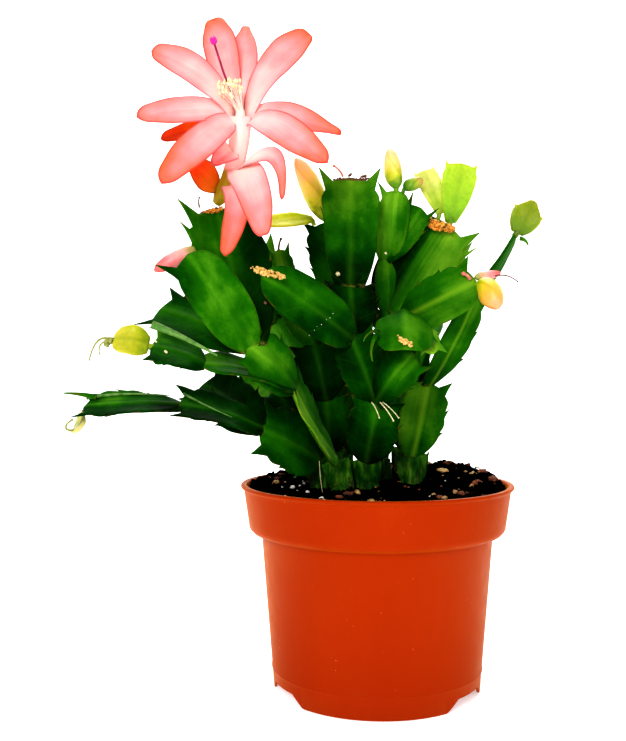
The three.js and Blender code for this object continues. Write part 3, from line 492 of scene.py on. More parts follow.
def blade(shape, outline, length, wide, surface, half, step, tone, slot=0, rib=0.0):
    """Adds a closed thin blade. The outline is flat, in millimetres along and across the blade, and
    runs anticlockwise. surface(points) lays flat points in space, half(points, edge) is half the
    thickness there, with edge the distance to the margin, and tone(points) is the tone."""
    flat, faces, border = filled(outline, step)
    edge, _ = margin_distance(flat, outline)
    along = surface(flat + (NUDGE, 0)) - surface(flat - (NUDGE, 0))
    across = surface(flat + (0, NUDGE)) - surface(flat - (0, NUDGE))
    lift = unit(np.cross(along, across)) * half(flat, edge)[:, None]
    middle = surface(flat)
    count = len(flat)
    sides = [tuple(f) for f in faces] + [tuple(i + count for i in reversed(f)) for f in faces]
    sides += [(b, a, a + count, b + count) for a, b in zip(border, border[1:] + border[:1])]
    values = {"along": flat[:, 0] / length, "across": flat[:, 1] * 2 / wide, "edge": edge,
              "tone": tone(flat), "rib": rib}
    paint = {key: np.tile(np.broadcast_to(value, count), 2) for key, value in values.items()}
    shape.add(np.concatenate([middle + lift, middle - lift]), sides, slot, **paint)


def reach_at(places, reaches, u):
    """A cut's reach at u: smooth between its places."""
    window = 13
    fine = np.linspace(0, places[-1], 97)
    padded = np.pad(np.interp(fine, places, reaches), window // 2, mode="reflect", reflect_type="odd")
    return np.interp(u, fine, np.convolve(padded, np.ones(window) / window, "valid"))


def margin(seed, length, wide, cut):
    """One side of a segment's outline, base to apex: lobes, each ending in a tooth that points
    forward and hooks back to the next lobe."""
    reaches, teeth = CUTS[cut]
    points, begin = [], 0.0
    for i, (at, out) in teeth.items():
        stray = LOBE.stray_along * draw(seed, i), LOBE.stray_out * draw(seed, i + 20)
        tip = np.add((at, out), stray)
        notch = np.array([SEGMENT_PLACES[i], reaches[i]])
        u = np.linspace(begin, notch[0] - LOBE.turn, 14)
        lobe = LOBE.swell * np.sin(math.pi * (u - begin) / (u[-1] - begin)) * (begin > 0)
        points.append(np.stack([u, reach_at(SEGMENT_PLACES, reaches, u) + lobe], axis=1))
        last = points[-1][-1]
        sweep = (notch[0] - 0.01, last[1] + LOBE.back * (tip[1] - last[1]) + 0.03)
        points.append(bezier([last, sweep, tip], 7)[1:])
        points.append(bezier([tip, notch + LOBE.hook * (tip - notch) + (0, 0.01), notch], 4))
        begin = notch[0]
    if begin < APEX_FROM:
        u = np.linspace(begin, APEX_FROM, 24)
        saw = SERRATION.depth * np.abs(((u * SERRATION.count) % 1) - 0.3) * (cut == "lens")
        points.append(np.stack([u, reach_at(SEGMENT_PLACES, reaches, u) + saw], axis=1))
        shoulder = (APEX_CORNER, 0.9 * reaches[-1] + 0.08)
        points.append(bezier([points[-1][-1], shoulder, (1.0, 0)], 9, ends=True)[1:])
    else:
        points.append(bezier([(begin, reaches[-1]), (APEX_CORNER, 0.35), (1.0, 0)], 6, ends=True))
    return np.concatenate(points) * (length, wide / 2)


def segment(shape, start, tip, wide, turn, bulge, cut, seed, tone, painted_side_light,
            rise=0.0, plump=1.0, step=0.9, slot=0, ribbed=0.0):
    """Adds one segment between two points, folded a little along its midrib, where it is thickest."""
    run = tip - start
    length = float(np.linalg.norm(run))
    axis = run / length
    normal = facing(axis, turn)
    side = np.cross(axis, normal)
    cup = -ARCHED_CUP * wide if bulge > ARCHED_FROM else 0.1 * wide * (1 + 0.5 * draw(seed, 1))
    wave, ripple = 0.035 * wide, 0.012 * wide  # slow and quick bends of the margins
    lower = HALF.fall * (tip[2] - HALF.level)
    rib = min(max(HALF.rib - lower, HALF.thin_rib), HALF.rib) * plump

    def surface(flat):
        u, v = flat[:, 0:1] / length, flat[:, 1:2] * 2 / wide
        fold = 0.5 * v * v + 0.5 * (np.sqrt(v * v + 0.01) - 0.1)
        lift = bulge * 4 * u * (1 - u) + cup * fold + wave * v * np.sin(7 * u + seed)
        lift = lift + ripple * v * v * np.sin(17 * u + 2 * seed)
        return start + run * u + side * v * wide / 2 + normal * lift

    def half(flat, edge):
        u = flat[:, 0] / length
        ridge = sum(part * np.exp(-((flat[:, 1] / reach) ** 2)) for part, reach in RIDGES)
        rounded = np.sqrt(np.clip(edge / HALF.rounding, 0, 1))
        body = HALF.side - HALF.margin + (rib - HALF.side) * ridge * (1 - 0.6 * u ** 2)
        return HALF.margin + rounded * body

    # The tone, with painted light: the right half painted lighter than the left, and the tip than the base.
    def shade(flat):
        return tone + painted_side_light * np.tanh(flat[:, 1] * 5 / wide) / 2 + rise * (flat[:, 0] / length - 0.5)

    left_cut, right_cut = (cut, cut) if isinstance(cut, str) else cut
    left = margin(seed, length, wide, left_cut)
    right = margin(seed, length, wide, right_cut)
    outline = np.concatenate([left[:-1] * (1, -1), right[::-1]])
    blade(shape, outline, length, wide, surface, half, step, shade, slot, ribbed)


# ---- Round bodies ----


def tube(shape, centres, radii, sides, swell=1.0, heads=None, slot=0, **paint):
    """Adds a closed body of rings about a path. swell is a share of the radius, for each side or each
    ring and side, and heads are the ways that the rings face where they aren't the path's own."""
    centres, radii = np.asarray(centres, float), np.asarray(radii, float)
    count = len(centres)
    across, third = cross_axes(unit(np.gradient(centres, axis=0)) if heads is None else heads, (0, 1, 0))
    angle = around(sides)
    reach = radii[:, None] * np.broadcast_to(swell, (count, sides))
    rings = centres[:, None] + across[:, None] * (reach * np.cos(angle))[..., None]
    rings = rings + third[:, None] * (reach * np.sin(angle))[..., None]
    values = {"along": np.repeat(np.linspace(0, 1, count), sides),
              "across": np.tile(angle / (2 * math.pi), count)}
    shape.add_rings(rings, slot, **{**values, **paint})


@cache
def ball(detail):
    """Points and faces of a ball with a radius of 1."""
    made = bmesh.new()
    bmesh.ops.create_icosphere(made, subdivisions=detail, radius=1)
    points = np.array([tuple(v.co) for v in made.verts])
    faces = [tuple(v.index for v in f.verts) for f in made.faces]
    made.free()
    return points, faces


def pebble(shape, centre, radii, seed, slot=0, detail=2, rough=0.3, turn=None):
    """Adds a lump: a ball of unlike radii, roughened by noise and turned by a draw, or by turn."""
    points, faces = ball(detail)
    offset = Vector((seed * 3.7, seed * 1.3, 0))
    jitter = np.array([noise.noise(Vector(p) * 1.4 + offset) for p in points])
    points = points * (1 + rough * jitter[:, None]) * np.asarray(radii, float)
    points = turn_about(points, UP, draw(seed, 5) * math.pi if turn is None else turn)
    points = turn_about(points, np.array([1.0, 0, 0]), draw(seed, 6) * 0.5)
    shape.add(points + np.asarray(centre, float), faces, slot)


# ---- Materials ----


class Nodes:
    """A material's node tree, built by calls whose inputs are values or other nodes' outputs."""

    def __init__(self, name, **principled):
        self.material = bpy.data.materials.new(name)
        self.material.use_nodes = True
        self.tree = self.material.node_tree
        self.shader = self.tree.nodes["Principled BSDF"]
        for key, value in principled.items():
            self.set(self.shader, key.replace("_", " "), value)

    def set(self, node, key, value):
        socket = node.inputs[key]
        if isinstance(value, bpy.types.NodeSocket):
            self.tree.links.new(value, socket)
        elif socket.type == "RGBA" and len(value) == 3:
            socket.default_value = (*value, 1)
        else:
            socket.default_value = value

    def node(self, kind, values=(), **settings):
        made = self.tree.nodes.new(f"ShaderNode{kind}")
        for key, value in settings.items():
            setattr(made, key, value)
        for key, value in dict(values).items():
            self.set(made, key, value)
        return made

    def painted(self, name):
        return self.node("Attribute", attribute_name=name).outputs["Fac"]

    def noise(self, size, detail=3, stretch=(1, 1, 1), **values):
        """A noise with features of the given size in millimetres."""
        coordinates = self.node("TexCoord").outputs["Object"]
        place = self.node("Mapping", {"Vector": coordinates, "Scale": stretch}).outputs["Vector"]
        inputs = {"Vector": place, "Scale": 1 / (size * MM), "Detail": detail, **values}
        return self.node("TexNoise", inputs).outputs["Fac"]

    def streaks(self, along, across, shift, scale, detail):
        """A noise laid out by a blade's own directions."""
        place = self.node("CombineXYZ", {"X": along, "Y": across, "Z": shift}).outputs[0]
        return self.node("TexNoise", {"Vector": place, "Scale": scale, "Detail": detail}).outputs["Fac"]

    def mottle(self, size, detail, low, high):
        """A noise spread between two values."""
        return self.span(self.noise(size, detail), 0.3, 0.7, low, high)

    def math(self, operation, a, b=0.0, clamp=False):
        made = self.node("Math", operation=operation, use_clamp=clamp)
        self.set(made, 0, a)
        self.set(made, 1, b)
        return made.outputs[0]

    def add(self, *values):
        return reduce(lambda a, b: self.math("ADD", a, b), values)

    def times(self, a, b):
        return self.math("MULTIPLY", a, b)

    def veins(self, along, side, slant, spacing, width, strength):
        """Side veins that leave the midrib aslant, at even spaces."""
        place = self.math("SUBTRACT", along, self.times(side, slant))
        return self.span(self.math("PINGPONG", place, spacing), 0.0, width, strength, 0.0)

    def ramp(self, value, *stops):
        made = self.node("ValToRGB", {"Fac": value})
        elements = made.color_ramp.elements
        while len(elements) < len(stops):
            elements.new(0.5)
        for element, (place, colour) in zip(elements, stops):
            element.position = place
            element.color = (*colour, 1)
        return made.outputs["Color"]

    def span(self, value, low, high, to_low=0.0, to_high=1.0):
        made = self.node("MapRange", {
            "Value": value, "From Min": low, "From Max": high, "To Min": to_low, "To Max": to_high})
        return made.outputs["Result"]

    def mix(self, amount, a, b, blend="MIX"):
        made = self.node("MixRGB", {"Fac": amount, "Color1": a, "Color2": b}, blend_type=blend)
        return made.outputs["Color"]

    def finish(self, colour, roughness, *bumps):
        """Sets the colour and roughness, and stacks bumps, each a height from 0 to 1 and the
        millimetres it stands for."""
        self.set(self.shader, "Base Color", colour)
        self.set(self.shader, "Roughness", roughness)
        normal = None
        for height, distance in bumps:
            values = {"Height": height, "Distance": distance * MM, "Strength": 1.0}
            if normal:
                values["Normal"] = normal
            normal = self.node("Bump", values).outputs["Normal"]
        self.set(self.shader, "Normal", normal)
        return self.material


def leaf_material():
    """Waxy green skin: tone, mottling, a light midrib, side veins, dry margins and joints, a painted
    highlight along the middle and painted shade at the base.
    """
    n = Nodes("leaf", Specular_IOR_Level=0.03, Specular_Tint=(0.6, 1.0, 0.4))
    along, across, edge, tone = (n.painted(k) for k in ("along", "across", "edge", "tone"))
    side = n.math("ABSOLUTE", across)
    # A painted highlight lightens the middle of a segment's outer half.
    painted_centre_light = n.times(n.span(side, 0.0, 0.75, 1.0, 0.0), n.span(along, 0.2, 0.7))
    # Painted shade darkens a segment where it leaves the one below.
    base = n.span(along, 0.0, 0.3, -0.14, 0.0)
    # Broad faint streaks run the length of a segment.
    streak = n.streaks(n.times(along, 0.9), n.times(across, 1.5), n.times(tone, 9), 1.2, 2)
    shade = n.add(tone, n.mottle(13, 2, -0.13, 0.13), n.mottle(1.1, 4, -0.03, 0.03),
                  n.times(painted_centre_light, 0.24), base, n.span(streak, 0.3, 0.7, -0.09, 0.09))
    # Low tones, painted shade for segments that sit in shade, run to near black.
    green = n.ramp(shade, (0.0, (0.0002, 0.012, 0.0001)), (0.25, (0.0008, 0.045, 0.0002)),
                   (0.5, (0.015, 0.115, 0.0008)), (0.75, (0.08, 0.23, 0.01)), (1.0, (0.19, 0.36, 0.025)))
    # The midrib, and a vein towards each tooth.
    rib = n.span(side, 0.0, 0.2, 1.0, 0.0)
    vein = n.veins(n.add(along, n.mottle(4, 2, -0.014, 0.014), 0.02), side, 0.22, 0.145, 0.02, 0.12)
    lines = n.math("MAXIMUM", n.times(rib, 0.42), vein, clamp=True)
    colour = n.mix(n.times(lines, 0.3), green, (0.12, 0.34, 0.015))
    colour = n.mix(n.times(rib, n.painted("rib")), colour, (0.2, 0.34, 0.02))
    dry = n.times(n.span(edge, 0.05, 0.35, 1.0, 0.0), n.span(n.noise(3, 2), 0.5, 0.68))
    colour = n.mix(n.times(dry, 0.45), colour, (0.17, 0.07, 0.02))
    joint = n.times(n.span(along, 0.0, 0.05, 0.6, 0.0), n.span(n.noise(1.5), 0.45, 0.65))
    colour = n.mix(joint, colour, (0.3, 0.24, 0.06))
    return n.finish(colour, n.mottle(2.5, 4, 0.42, 0.56),
                    (n.noise(6, 2), 0.25), (lines, 0.1), (n.noise(0.35, 3), 0.03))


def wood_material():
    """The oldest segments: olive skin, streaked light and dark, with fine corky fissures along them."""
    n = Nodes("old_stem", Specular_IOR_Level=0.15, Specular_Tint=(0.6, 1.0, 0.4))
    fissure = n.noise(1.3, 4, stretch=(1, 1, 0.2), Distortion=0.5)
    green = n.ramp(n.noise(2.4, 3, stretch=(1, 1, 0.3)), (0.3, (0.001, 0.022, 0.001)),
                   (0.5, (0.01, 0.07, 0.002)), (0.74, (0.09, 0.2, 0.015)))
    cork = n.ramp(n.noise(0.8, 3), (0.3, (0.015, 0.02, 0.004)), (0.7, (0.1, 0.12, 0.03)))
    low = n.span(n.painted("along"), 0.0, 0.5, 0.08, -0.04)
    split = n.span(n.add(fissure, low), 0.58, 0.68)
    return n.finish(n.mix(split, green, cork), n.span(split, 0, 1, 0.5, 0.8),
                    (fissure, 0.6), (n.noise(0.4, 4), 0.08))


# Young skin, from base to tip.
YOUNG_TONES = {
    "lime": ((0.12, 0.28, 0.004), (0.26, 0.44, 0.008), (0.4, 0.5, 0.025)),
    "bright": ((0.36, 0.48, 0.006), (0.6, 0.7, 0.008), (0.7, 0.7, 0.03)),
    "pale": ((0.22, 0.36, 0.02), (0.46, 0.54, 0.08), (0.66, 0.6, 0.2)),
    "husk": ((0.3, 0.34, 0.08), (0.5, 0.5, 0.16), (0.62, 0.58, 0.3)),
    "straw": ((0.17, 0.26, 0.002), (0.38, 0.38, 0.008), (0.52, 0.45, 0.05)),
    "olive": ((0.09, 0.17, 0.002), (0.16, 0.24, 0.002), (0.27, 0.28, 0.008)),
}


def young_material(kind):
    """Thin young skin that light passes into, with a clear midrib."""
    base, body, end = YOUNG_TONES[kind]
    n = Nodes(f"young_{kind}", Specular_IOR_Level=0.35, Subsurface_Weight=0.35,
              Subsurface_Scale=0.003, Subsurface_Radius=(0.8, 1.0, 0.1))
    along, side = n.painted("along"), n.math("ABSOLUTE", n.painted("across"))
    colour = n.ramp(n.add(along, n.mottle(4, 3, -0.12, 0.12)), (0.0, base), (0.3, body), (1.0, end))
    colour = n.mix(n.span(n.noise(1.6, 4), 0.4, 0.7, 0.0, 0.35), colour, base)
    rib = n.span(side, 0.0, 0.3, 0.3, 0.0)
    lines = n.math("MAXIMUM", rib, n.veins(along, side, 0.3, 0.16, 0.05, 0.1))
    tips = n.span(n.painted("edge"), 0.05, 0.35, 0.5, 0.0)
    colour = n.mix(tips, n.mix(lines, colour, base), (0.5, 0.3, 0.05))
    return n.finish(colour, n.mottle(1.5, 3, 0.35, 0.5), (lines, 0.15), (n.noise(0.6, 3), 0.05))


def petal_material():
    """Silky petals: pale pink at the throat, salmon towards the tips, and redder with the warmth."""
    n = Nodes("petal", Specular_IOR_Level=0.2, Sheen_Weight=0.1, Sheen_Roughness=0.4,
              Subsurface_Weight=0.25, Subsurface_Scale=0.002, Subsurface_Radius=(1.0, 0.4, 0.3))
    along, across, edge, tone = (n.painted(k) for k in ("along", "across", "edge", "tone"))
    rim = n.times(n.span(edge, 0.0, 3.4, 1.0, 0.0), 0.24)
    run = n.times(n.span(along, 0.1, 0.95), 0.55)
    deep = n.add(rim, run, n.times(tone, 0.34), n.mottle(9, 2, -0.08, 0.08))
    colour = n.ramp(deep, (0.0, (0.94, 0.66, 0.57)), (0.25, (0.93, 0.5, 0.48)),
                    (0.55, (0.92, 0.28, 0.28)), (0.8, (0.9, 0.17, 0.12)), (1.0, (0.75, 0.12, 0.02)))
    # The warmest ones, small and low on the tube, are orange from an olive base.
    orange = n.ramp(n.add(along, n.mottle(5, 2, -0.1, 0.1)), (0.05, (0.36, 0.26, 0.01)),
                    (0.3, (0.68, 0.2, 0.006)), (0.9, (0.62, 0.07, 0.002)))
    colour = n.mix(n.span(tone, 0.9, 1.2), colour, orange)
    # Fine veins run the length of the petal, and the very margin is thin and greyer.
    vein = n.streaks(n.times(along, 1.4), n.times(across, 7), 0.0, 1.5, 3)
    colour = n.mix(n.span(vein, 0.42, 0.75, 0.0, 0.16), colour, (0.9, 0.6, 0.58), "MULTIPLY")
    colour = n.mix(n.span(edge, 0.2, 0.6, 0.85, 0.0), colour, (0.55, 0.4, 0.46), "MULTIPLY")
    return n.finish(colour, n.span(vein, 0.3, 0.7, 0.45, 0.6), (vein, 0.1), (n.noise(0.3, 2), 0.012))


# Buds, from base to tip.
BUD_TONES = {
    "orange": ((0.2, 0.38, 0.004), (0.75, 0.68, 0.03), (0.93, 0.58, 0.15), (0.93, 0.52, 0.28)),
    "yellow": ((0.2, 0.36, 0.005), (0.58, 0.52, 0.012), (0.82, 0.44, 0.06), (0.85, 0.34, 0.16)),
    "cream": ((0.12, 0.26, 0.004), (0.46, 0.48, 0.02), (0.82, 0.58, 0.2), (0.88, 0.5, 0.26)),
    "green": ((0.05, 0.16, 0.003), (0.14, 0.28, 0.006), (0.32, 0.38, 0.03), (0.5, 0.3, 0.08)),
    "pink": ((0.34, 0.35, 0.08), (0.9, 0.4, 0.36), (0.9, 0.24, 0.25), (0.85, 0.13, 0.12)),
}


def bud_material(kind):
    """Wrapped tepals: green at the base, warm at the tip, with painted shade where one covers the next."""
    n = Nodes(f"bud_{kind}", Specular_IOR_Level=0.4, Subsurface_Weight=0.25,
              Subsurface_Scale=0.002, Subsurface_Radius=(1.0, 0.7, 0.15))
    along, painted_seam_shade = n.painted("along"), n.painted("edge")
    tones = BUD_TONES[kind]
    colour = n.ramp(n.add(along, n.mottle(2.5, 3, -0.1, 0.1)), *zip((0.05, 0.34, 0.62, 0.95), tones))
    # Painted shade along the seams where one tepal covers the next.
    colour = n.mix(n.span(painted_seam_shade, 0.0, 0.1, 0.3, 0.0), colour, tones[1], "MULTIPLY")
    return n.finish(colour, n.mottle(1.2, 3, 0.35, 0.52),
                    (n.noise(0.9, 3, stretch=(1, 1, 0.3)), 0.08), (n.noise(0.3, 2), 0.02))


def speckled(name, low, high, size, roughness=0.8, relief=0.1, **principled):
    """A dry or dull stuff with two colours in fine patches."""
    n = Nodes(name, **principled)
    colour = n.ramp(n.noise(size, 4), (0.32, low), (0.68, high))
    rough = n.mottle(size * 0.6, 3, roughness - 0.1, roughness + 0.1)
    return n.finish(colour, rough, (n.noise(size * 0.5, 4), relief))


def pot_material():
    """Moulded terracotta-coloured plastic: satin, with faint flow marks, scuffs and dust."""
    n = Nodes("pot_plastic", Specular_IOR_Level=0.04, Sheen_Weight=0.3, Sheen_Roughness=0.45,
              Sheen_Tint=(1.0, 0.42, 0.02))
    flow = n.noise(30, 3, stretch=(1, 1, 0.3))
    colour = n.ramp(flow, (0.3, (0.32, 0.029, 0.0)), (0.7, (0.35, 0.034, 0.0)))
    dust = n.times(n.span(n.noise(14, 5), 0.5, 0.75), n.span(n.noise(0.7, 3), 0.45, 0.7))
    colour = n.mix(n.times(dust, 0.06), colour, (0.6, 0.16, 0.04))
    scuff = n.span(n.noise(1.3, 1), 0.77, 0.8)
    colour = n.mix(n.times(scuff, 0.35), colour, (0.7, 0.3, 0.12))
    return n.finish(colour, n.mottle(5, 5, 0.36, 0.48), (n.noise(22, 2), 0.12), (n.noise(0.25, 2), 0.006))


# ---- Pot ----

STEP = POT.height - POT.band_height  # the height at which the wall steps out to the band
UNDER = POT.floor  # the height of the floor's underside


def body_radius(z):
    """The pot's outer radius at a height below the band."""
    return POT.foot + (POT.body - POT.foot) * z / STEP


def wall_inside(z):
    """The pot's inner radius at a height, in its body and in its band."""
    if z <= STEP:
        return body_radius(z) - POT.wall
    lean = (z - STEP) / POT.band_height
    return POT.band_foot + (POT.rim - POT.band_foot) * lean - POT.wall


def pot_profile():
    """Radius and height round the pot's wall, from the middle of its underside, over the rim and
    down inside to the middle of its floor."""
    foot, band, rim, top, bead = POT.foot, POT.band_foot, POT.rim, POT.height, POT.bead
    lip, floor, middle = rim + POT.lip, UNDER + POT.wall, 0.01
    outer, inner = body_radius, wall_inside
    underside = [(middle, UNDER), (inner(UNDER) - 1.5, UNDER), (inner(UNDER) - 0.3, UNDER - 0.4)]
    foot_ring = [(inner(UNDER), UNDER - 1.6), (inner(0), 0.35), (inner(0) + 0.3, 0), (foot - 0.3, 0),
                 (foot, 0.3)]
    beading = [(outer(bead + up) + out, bead + rise) for up, out, rise in [
        (-0.5, 0, -0.5), (0, 0.06, -0.1), (0, 0.3, 0.25), (0, 0.28, 0.6), (1, 0, 1.1)]]
    body = [(outer(30), 30), (outer(STEP - 4.4), STEP - 4.4), (outer(STEP) + 0.3, STEP - 3.7)]
    shoulder = [(band + out, STEP + up) for out, up in [
        (-1.5, -2.9), (-0.5, -1.9), (-0.05, -0.9), (0.1, 0.4)]]
    brim = [(rim - 0.1, top - 2.6), (rim, top - 1.8), (rim + 0.4, top - 1.45), (lip - 0.25, top - 1.2),
            (lip, top - 0.9), (lip, top - 0.3), (lip - 0.3, top), (rim - 0.65, top), (rim - 1.0, top - 0.1),
            (rim - 1.25, top - 0.6)]
    inside = [(inner(top - 4), top - 4), (inner(STEP + 0.5), STEP + 0.5), (inner(STEP) - 3.4, STEP - 3.2),
              (inner(STEP - 5), STEP - 5), (inner(UNDER + 4), UNDER + 4)]
    bottom = [(inner(UNDER) - 1.2, floor + 0.2), (inner(UNDER) - 3, floor), (middle, floor)]
    return underside + foot_ring + beading + body + shoulder + brim + inside + bottom


def lathe(profile, sides):
    """Rings of points, one for each radius and height of the profile."""
    angle = around(sides)
    ring = np.stack([np.cos(angle), np.sin(angle)], axis=1)
    return np.array([[(r * c, r * s, z) for c, s in ring] for r, z in profile])


def notch_cutters():
    """Blocks with sloping sides that cut the wide notches in the foot ring."""
    high, reach, top = POT.notch_height, POT.notch_reach, POT.notch_reach - POT.notch_slant
    outline = [(-reach, -1), (reach, -1), (top, high), (-top, high)]
    points = np.array([(r, y, z) for r in (POT.foot / 2, POT.foot * 1.5) for y, z in outline])
    sides = [((k + 1) % 4, (k + 1) % 4 + 4, k + 4, k) for k in range(4)]
    for k in range(POT.notch_count):
        angle = math.radians(POT.notch_angle) + 2 * math.pi * k / POT.notch_count
        mesh = mesh_of("cutter", turn_about(points, UP, angle), [(3, 2, 1, 0), (4, 5, 6, 7), *sides])
        yield linked("cutter", mesh)


def drain_cutters():
    """Posts that cut the drain holes: one in the middle and the others round it."""
    sides, ring = 24, DRAIN.ring
    post = lathe([(DRAIN.radius, UNDER - 2), (DRAIN.radius, UNDER + 4)], sides)
    turns = [2 * math.pi * (k + 0.5) / DRAIN.count for k in range(DRAIN.count)]
    for x, y in [(0, 0)] + [(ring * math.cos(turn), ring * math.sin(turn)) for turn in turns]:
        points = (post + (x, y, 0)).reshape(-1, 3)
        yield linked("cutter", mesh_of("cutter", points, ring_faces(2, sides)))


def carve(body, cutters):
    """Cuts the cutters out of a body, and removes them."""
    for cutter in cutters:
        modifier = body.modifiers.new("cut", "BOOLEAN")
        modifier.object, modifier.operation, modifier.solver = cutter, "DIFFERENCE", "EXACT"
    graph = bpy.context.evaluated_depsgraph_get()
    mesh = bpy.data.meshes.new_from_object(body.evaluated_get(graph))
    body.modifiers.clear()
    body.data = mesh
    for cutter in cutters:
        bpy.data.objects.remove(cutter)


def make_pot():
    """The pot in one piece, with its notches and drain holes cut and its corners kept crisp."""
    shape = Shape()
    shape.add_rings(lathe(pot_profile(), 160))
    pot = shape.build("pot_shell", [pot_material()], "pot_plastic", "pot")
    carve(pot, [*notch_cutters(), *drain_cutters()])
    pot.data.shade_smooth()
    edges = pot.modifiers.new("crisp", "EDGE_SPLIT")
    edges.split_angle = math.radians(50)


# ---- Soil ----

# Large pieces of bark: x, y, length, width and turn.
BARK = [
    (33, 26, 7, 4, 20), (24, 34, 6, 4, -30), (10, 38, 6, 3, 10), (40, 10, 5, 3, 60), (-34, 28, 5, 3, -15),
    (-40, 2, 4, 2.5, 70), (30, -24, 4, 2.5, 30), (-4, -36, 4, 2, -10), (45, 16, 5, 4, 40),
    (28, 12, 5, 3.5, -20), (39, -4, 5, 3, 15), (20, 20, 5, 3, 70), (47, 3, 4, 3, 0), (14, 28, 4, 3, 45),
]
GRAIN = Sizes(fineness=0.32, height=0.55)  # the peat's roughness between its crumbs
BRIM = wall_inside(POT.height - 3) - GAP - 0.25  # the soil's radius at its top


def soil_height(x, y):
    """The soil slopes up to the back, with a heap at the back right, and is lumpy."""
    heap_x, heap_y = SOIL.heap_at
    heap = SOIL.heap * np.exp(-((x - heap_x) ** 2 + (y - heap_y) ** 2) / SOIL.heap_spread ** 2)
    lumps = np.sin(0.55 * x + 0.8) * np.cos(0.5 * y) + 0.6 * np.sin(0.9 * y + 0.35 * x)
    return SOIL.front + SOIL.slope * (y - SOIL.front_at) + heap + SOIL.lump * lumps


def strewn(count, seed, reach, size, lift):
    """Seeded places on the soil, and sizes. reach and size say how the distance from the axis and the
    size are drawn, and lift is the share of its size by which a lump lies above the soil."""
    for k in range(count):
        radius, wide = draw_up(seed, k, *reach), draw_up(seed + 6, k, *size)
        turn = math.pi * draw(seed + 2, k)
        x, y = radius * math.cos(turn), radius * math.sin(turn)
        yield k, (x, y, soil_height(x, y) + lift * wide), wide


def make_peat():
    """A lumpy body of peat, and a seeded scatter of crumbs over it."""
    shape = Shape()
    rings, sides = 70, 150
    points = list(lathe([
        (wall_inside(UNDER + 2) - 0.9, UNDER + POT.wall + GAP),
        (wall_inside(STEP - 5) - 0.5, STEP - 5),
        (wall_inside(STEP + 2) - 0.5, STEP + 1)], sides))
    for i in range(rings + 1):
        radius = BRIM * (1 - i / (rings + 0.2))
        x, y = radius * np.cos(around(sides)), radius * np.sin(around(sides))
        places = [Vector((a * GRAIN.fineness, b * GRAIN.fineness, 1.7)) for a, b in zip(x, y)]
        grain = [noise.fractal(place, 0.8, 2.1, 4) for place in places]
        points.append(np.stack([x, y, soil_height(x, y) + GRAIN.height * np.array(grain)], axis=1))
    shape.add_rings(points)
    for k, place, wide in strewn(1500, 51, (0, BRIM - 1.4, 0.5), (0.5, 0.9, 3), 0.35):
        pebble(shape, place, (wide, 0.8 * wide, 0.7 * wide), k, detail=1)
    peat = speckled("peat", (0.0004, 0.0003, 0.0002), (0.0035, 0.002, 0.0014), 1.4, 0.95, 0.4,
                    Specular_IOR_Level=0.0)
    shape.build("peat", [peat], "peat", "soil")


def make_chips():
    """Bark and husk of all sizes, and perlite, on the peat."""
    chips = Shape()
    perlite_slot = 2
    for k, (x, y, long, wide, turn) in enumerate(BARK):
        place = (x, y, soil_height(x, y) + 0.6)
        pebble(chips, place, (0.45 * long, 0.45 * wide, 1.0), k + 3, k % 2, 3, 0.6, math.radians(turn))
    for k, place, wide in strewn(120, 61, (0, BRIM - 2, 0.5), (0.5, 1.5, 3), 0.5):
        pebble(chips, place, (wide, 0.6 * wide, 0.45 * wide), k + 31, k % 2, 2)
    for k, place, wide in strewn(24, 71, (14, 33, 1), (0.3, 0.7, 2), 0.6):
        pebble(chips, place, (wide, wide, 0.8 * wide), k + 57, perlite_slot, 2, 0.5)
    bark = speckled("bark", (0.05, 0.014, 0.006), (0.26, 0.07, 0.02), 1.6, 0.8, 0.3)
    husk = speckled("husk", (0.22, 0.1, 0.03), (0.62, 0.4, 0.16), 1.2, 0.75, 0.2)
    perlite = speckled("perlite", (0.55, 0.5, 0.42), (0.85, 0.83, 0.78), 0.6, 0.8, 0.15)
    chips.build("soil_chips", [bark, husk, perlite], "peat")


# ---- Stems ----

APEX = {}  # tip, axis and side of each segment, for what grows on from it


def stem_materials():
    """A stem's materials, by what the growths and scars call them."""
    return {
        "leaf": leaf_material(),
        "wood": wood_material(),
        "husk": speckled("dried_husk", (0.07, 0.02, 0.01), (0.24, 0.1, 0.05), 0.8, 0.7, 0.12),
        "coral": speckled("coral_remnant", (0.55, 0.12, 0.09), (0.7, 0.3, 0.22), 1.0, 0.6, 0.06),
        "gold": speckled("golden_cork", (0.4, 0.2, 0.03), (0.8, 0.56, 0.2), 0.7, 0.7, 0.12),
        "cream": speckled("cream_scale", (0.45, 0.4, 0.2), (0.8, 0.72, 0.46), 0.8, 0.7, 0.08),
        "white": speckled("white_speck", (0.7, 0.7, 0.62), (0.9, 0.9, 0.86), 0.5, 0.6, 0.03),
        "amber": speckled("amber_cork", (0.4, 0.12, 0.005), (0.8, 0.38, 0.06), 0.9, 0.7, 0.12),
        # The folds' pale green is a painted highlight along lit edges.
        "fold": speckled("fold_painted_highlight", (0.06, 0.17, 0.03), (0.2, 0.32, 0.1), 2.0, 0.5, 0.05,
                         Specular_IOR_Level=0.1),
    }


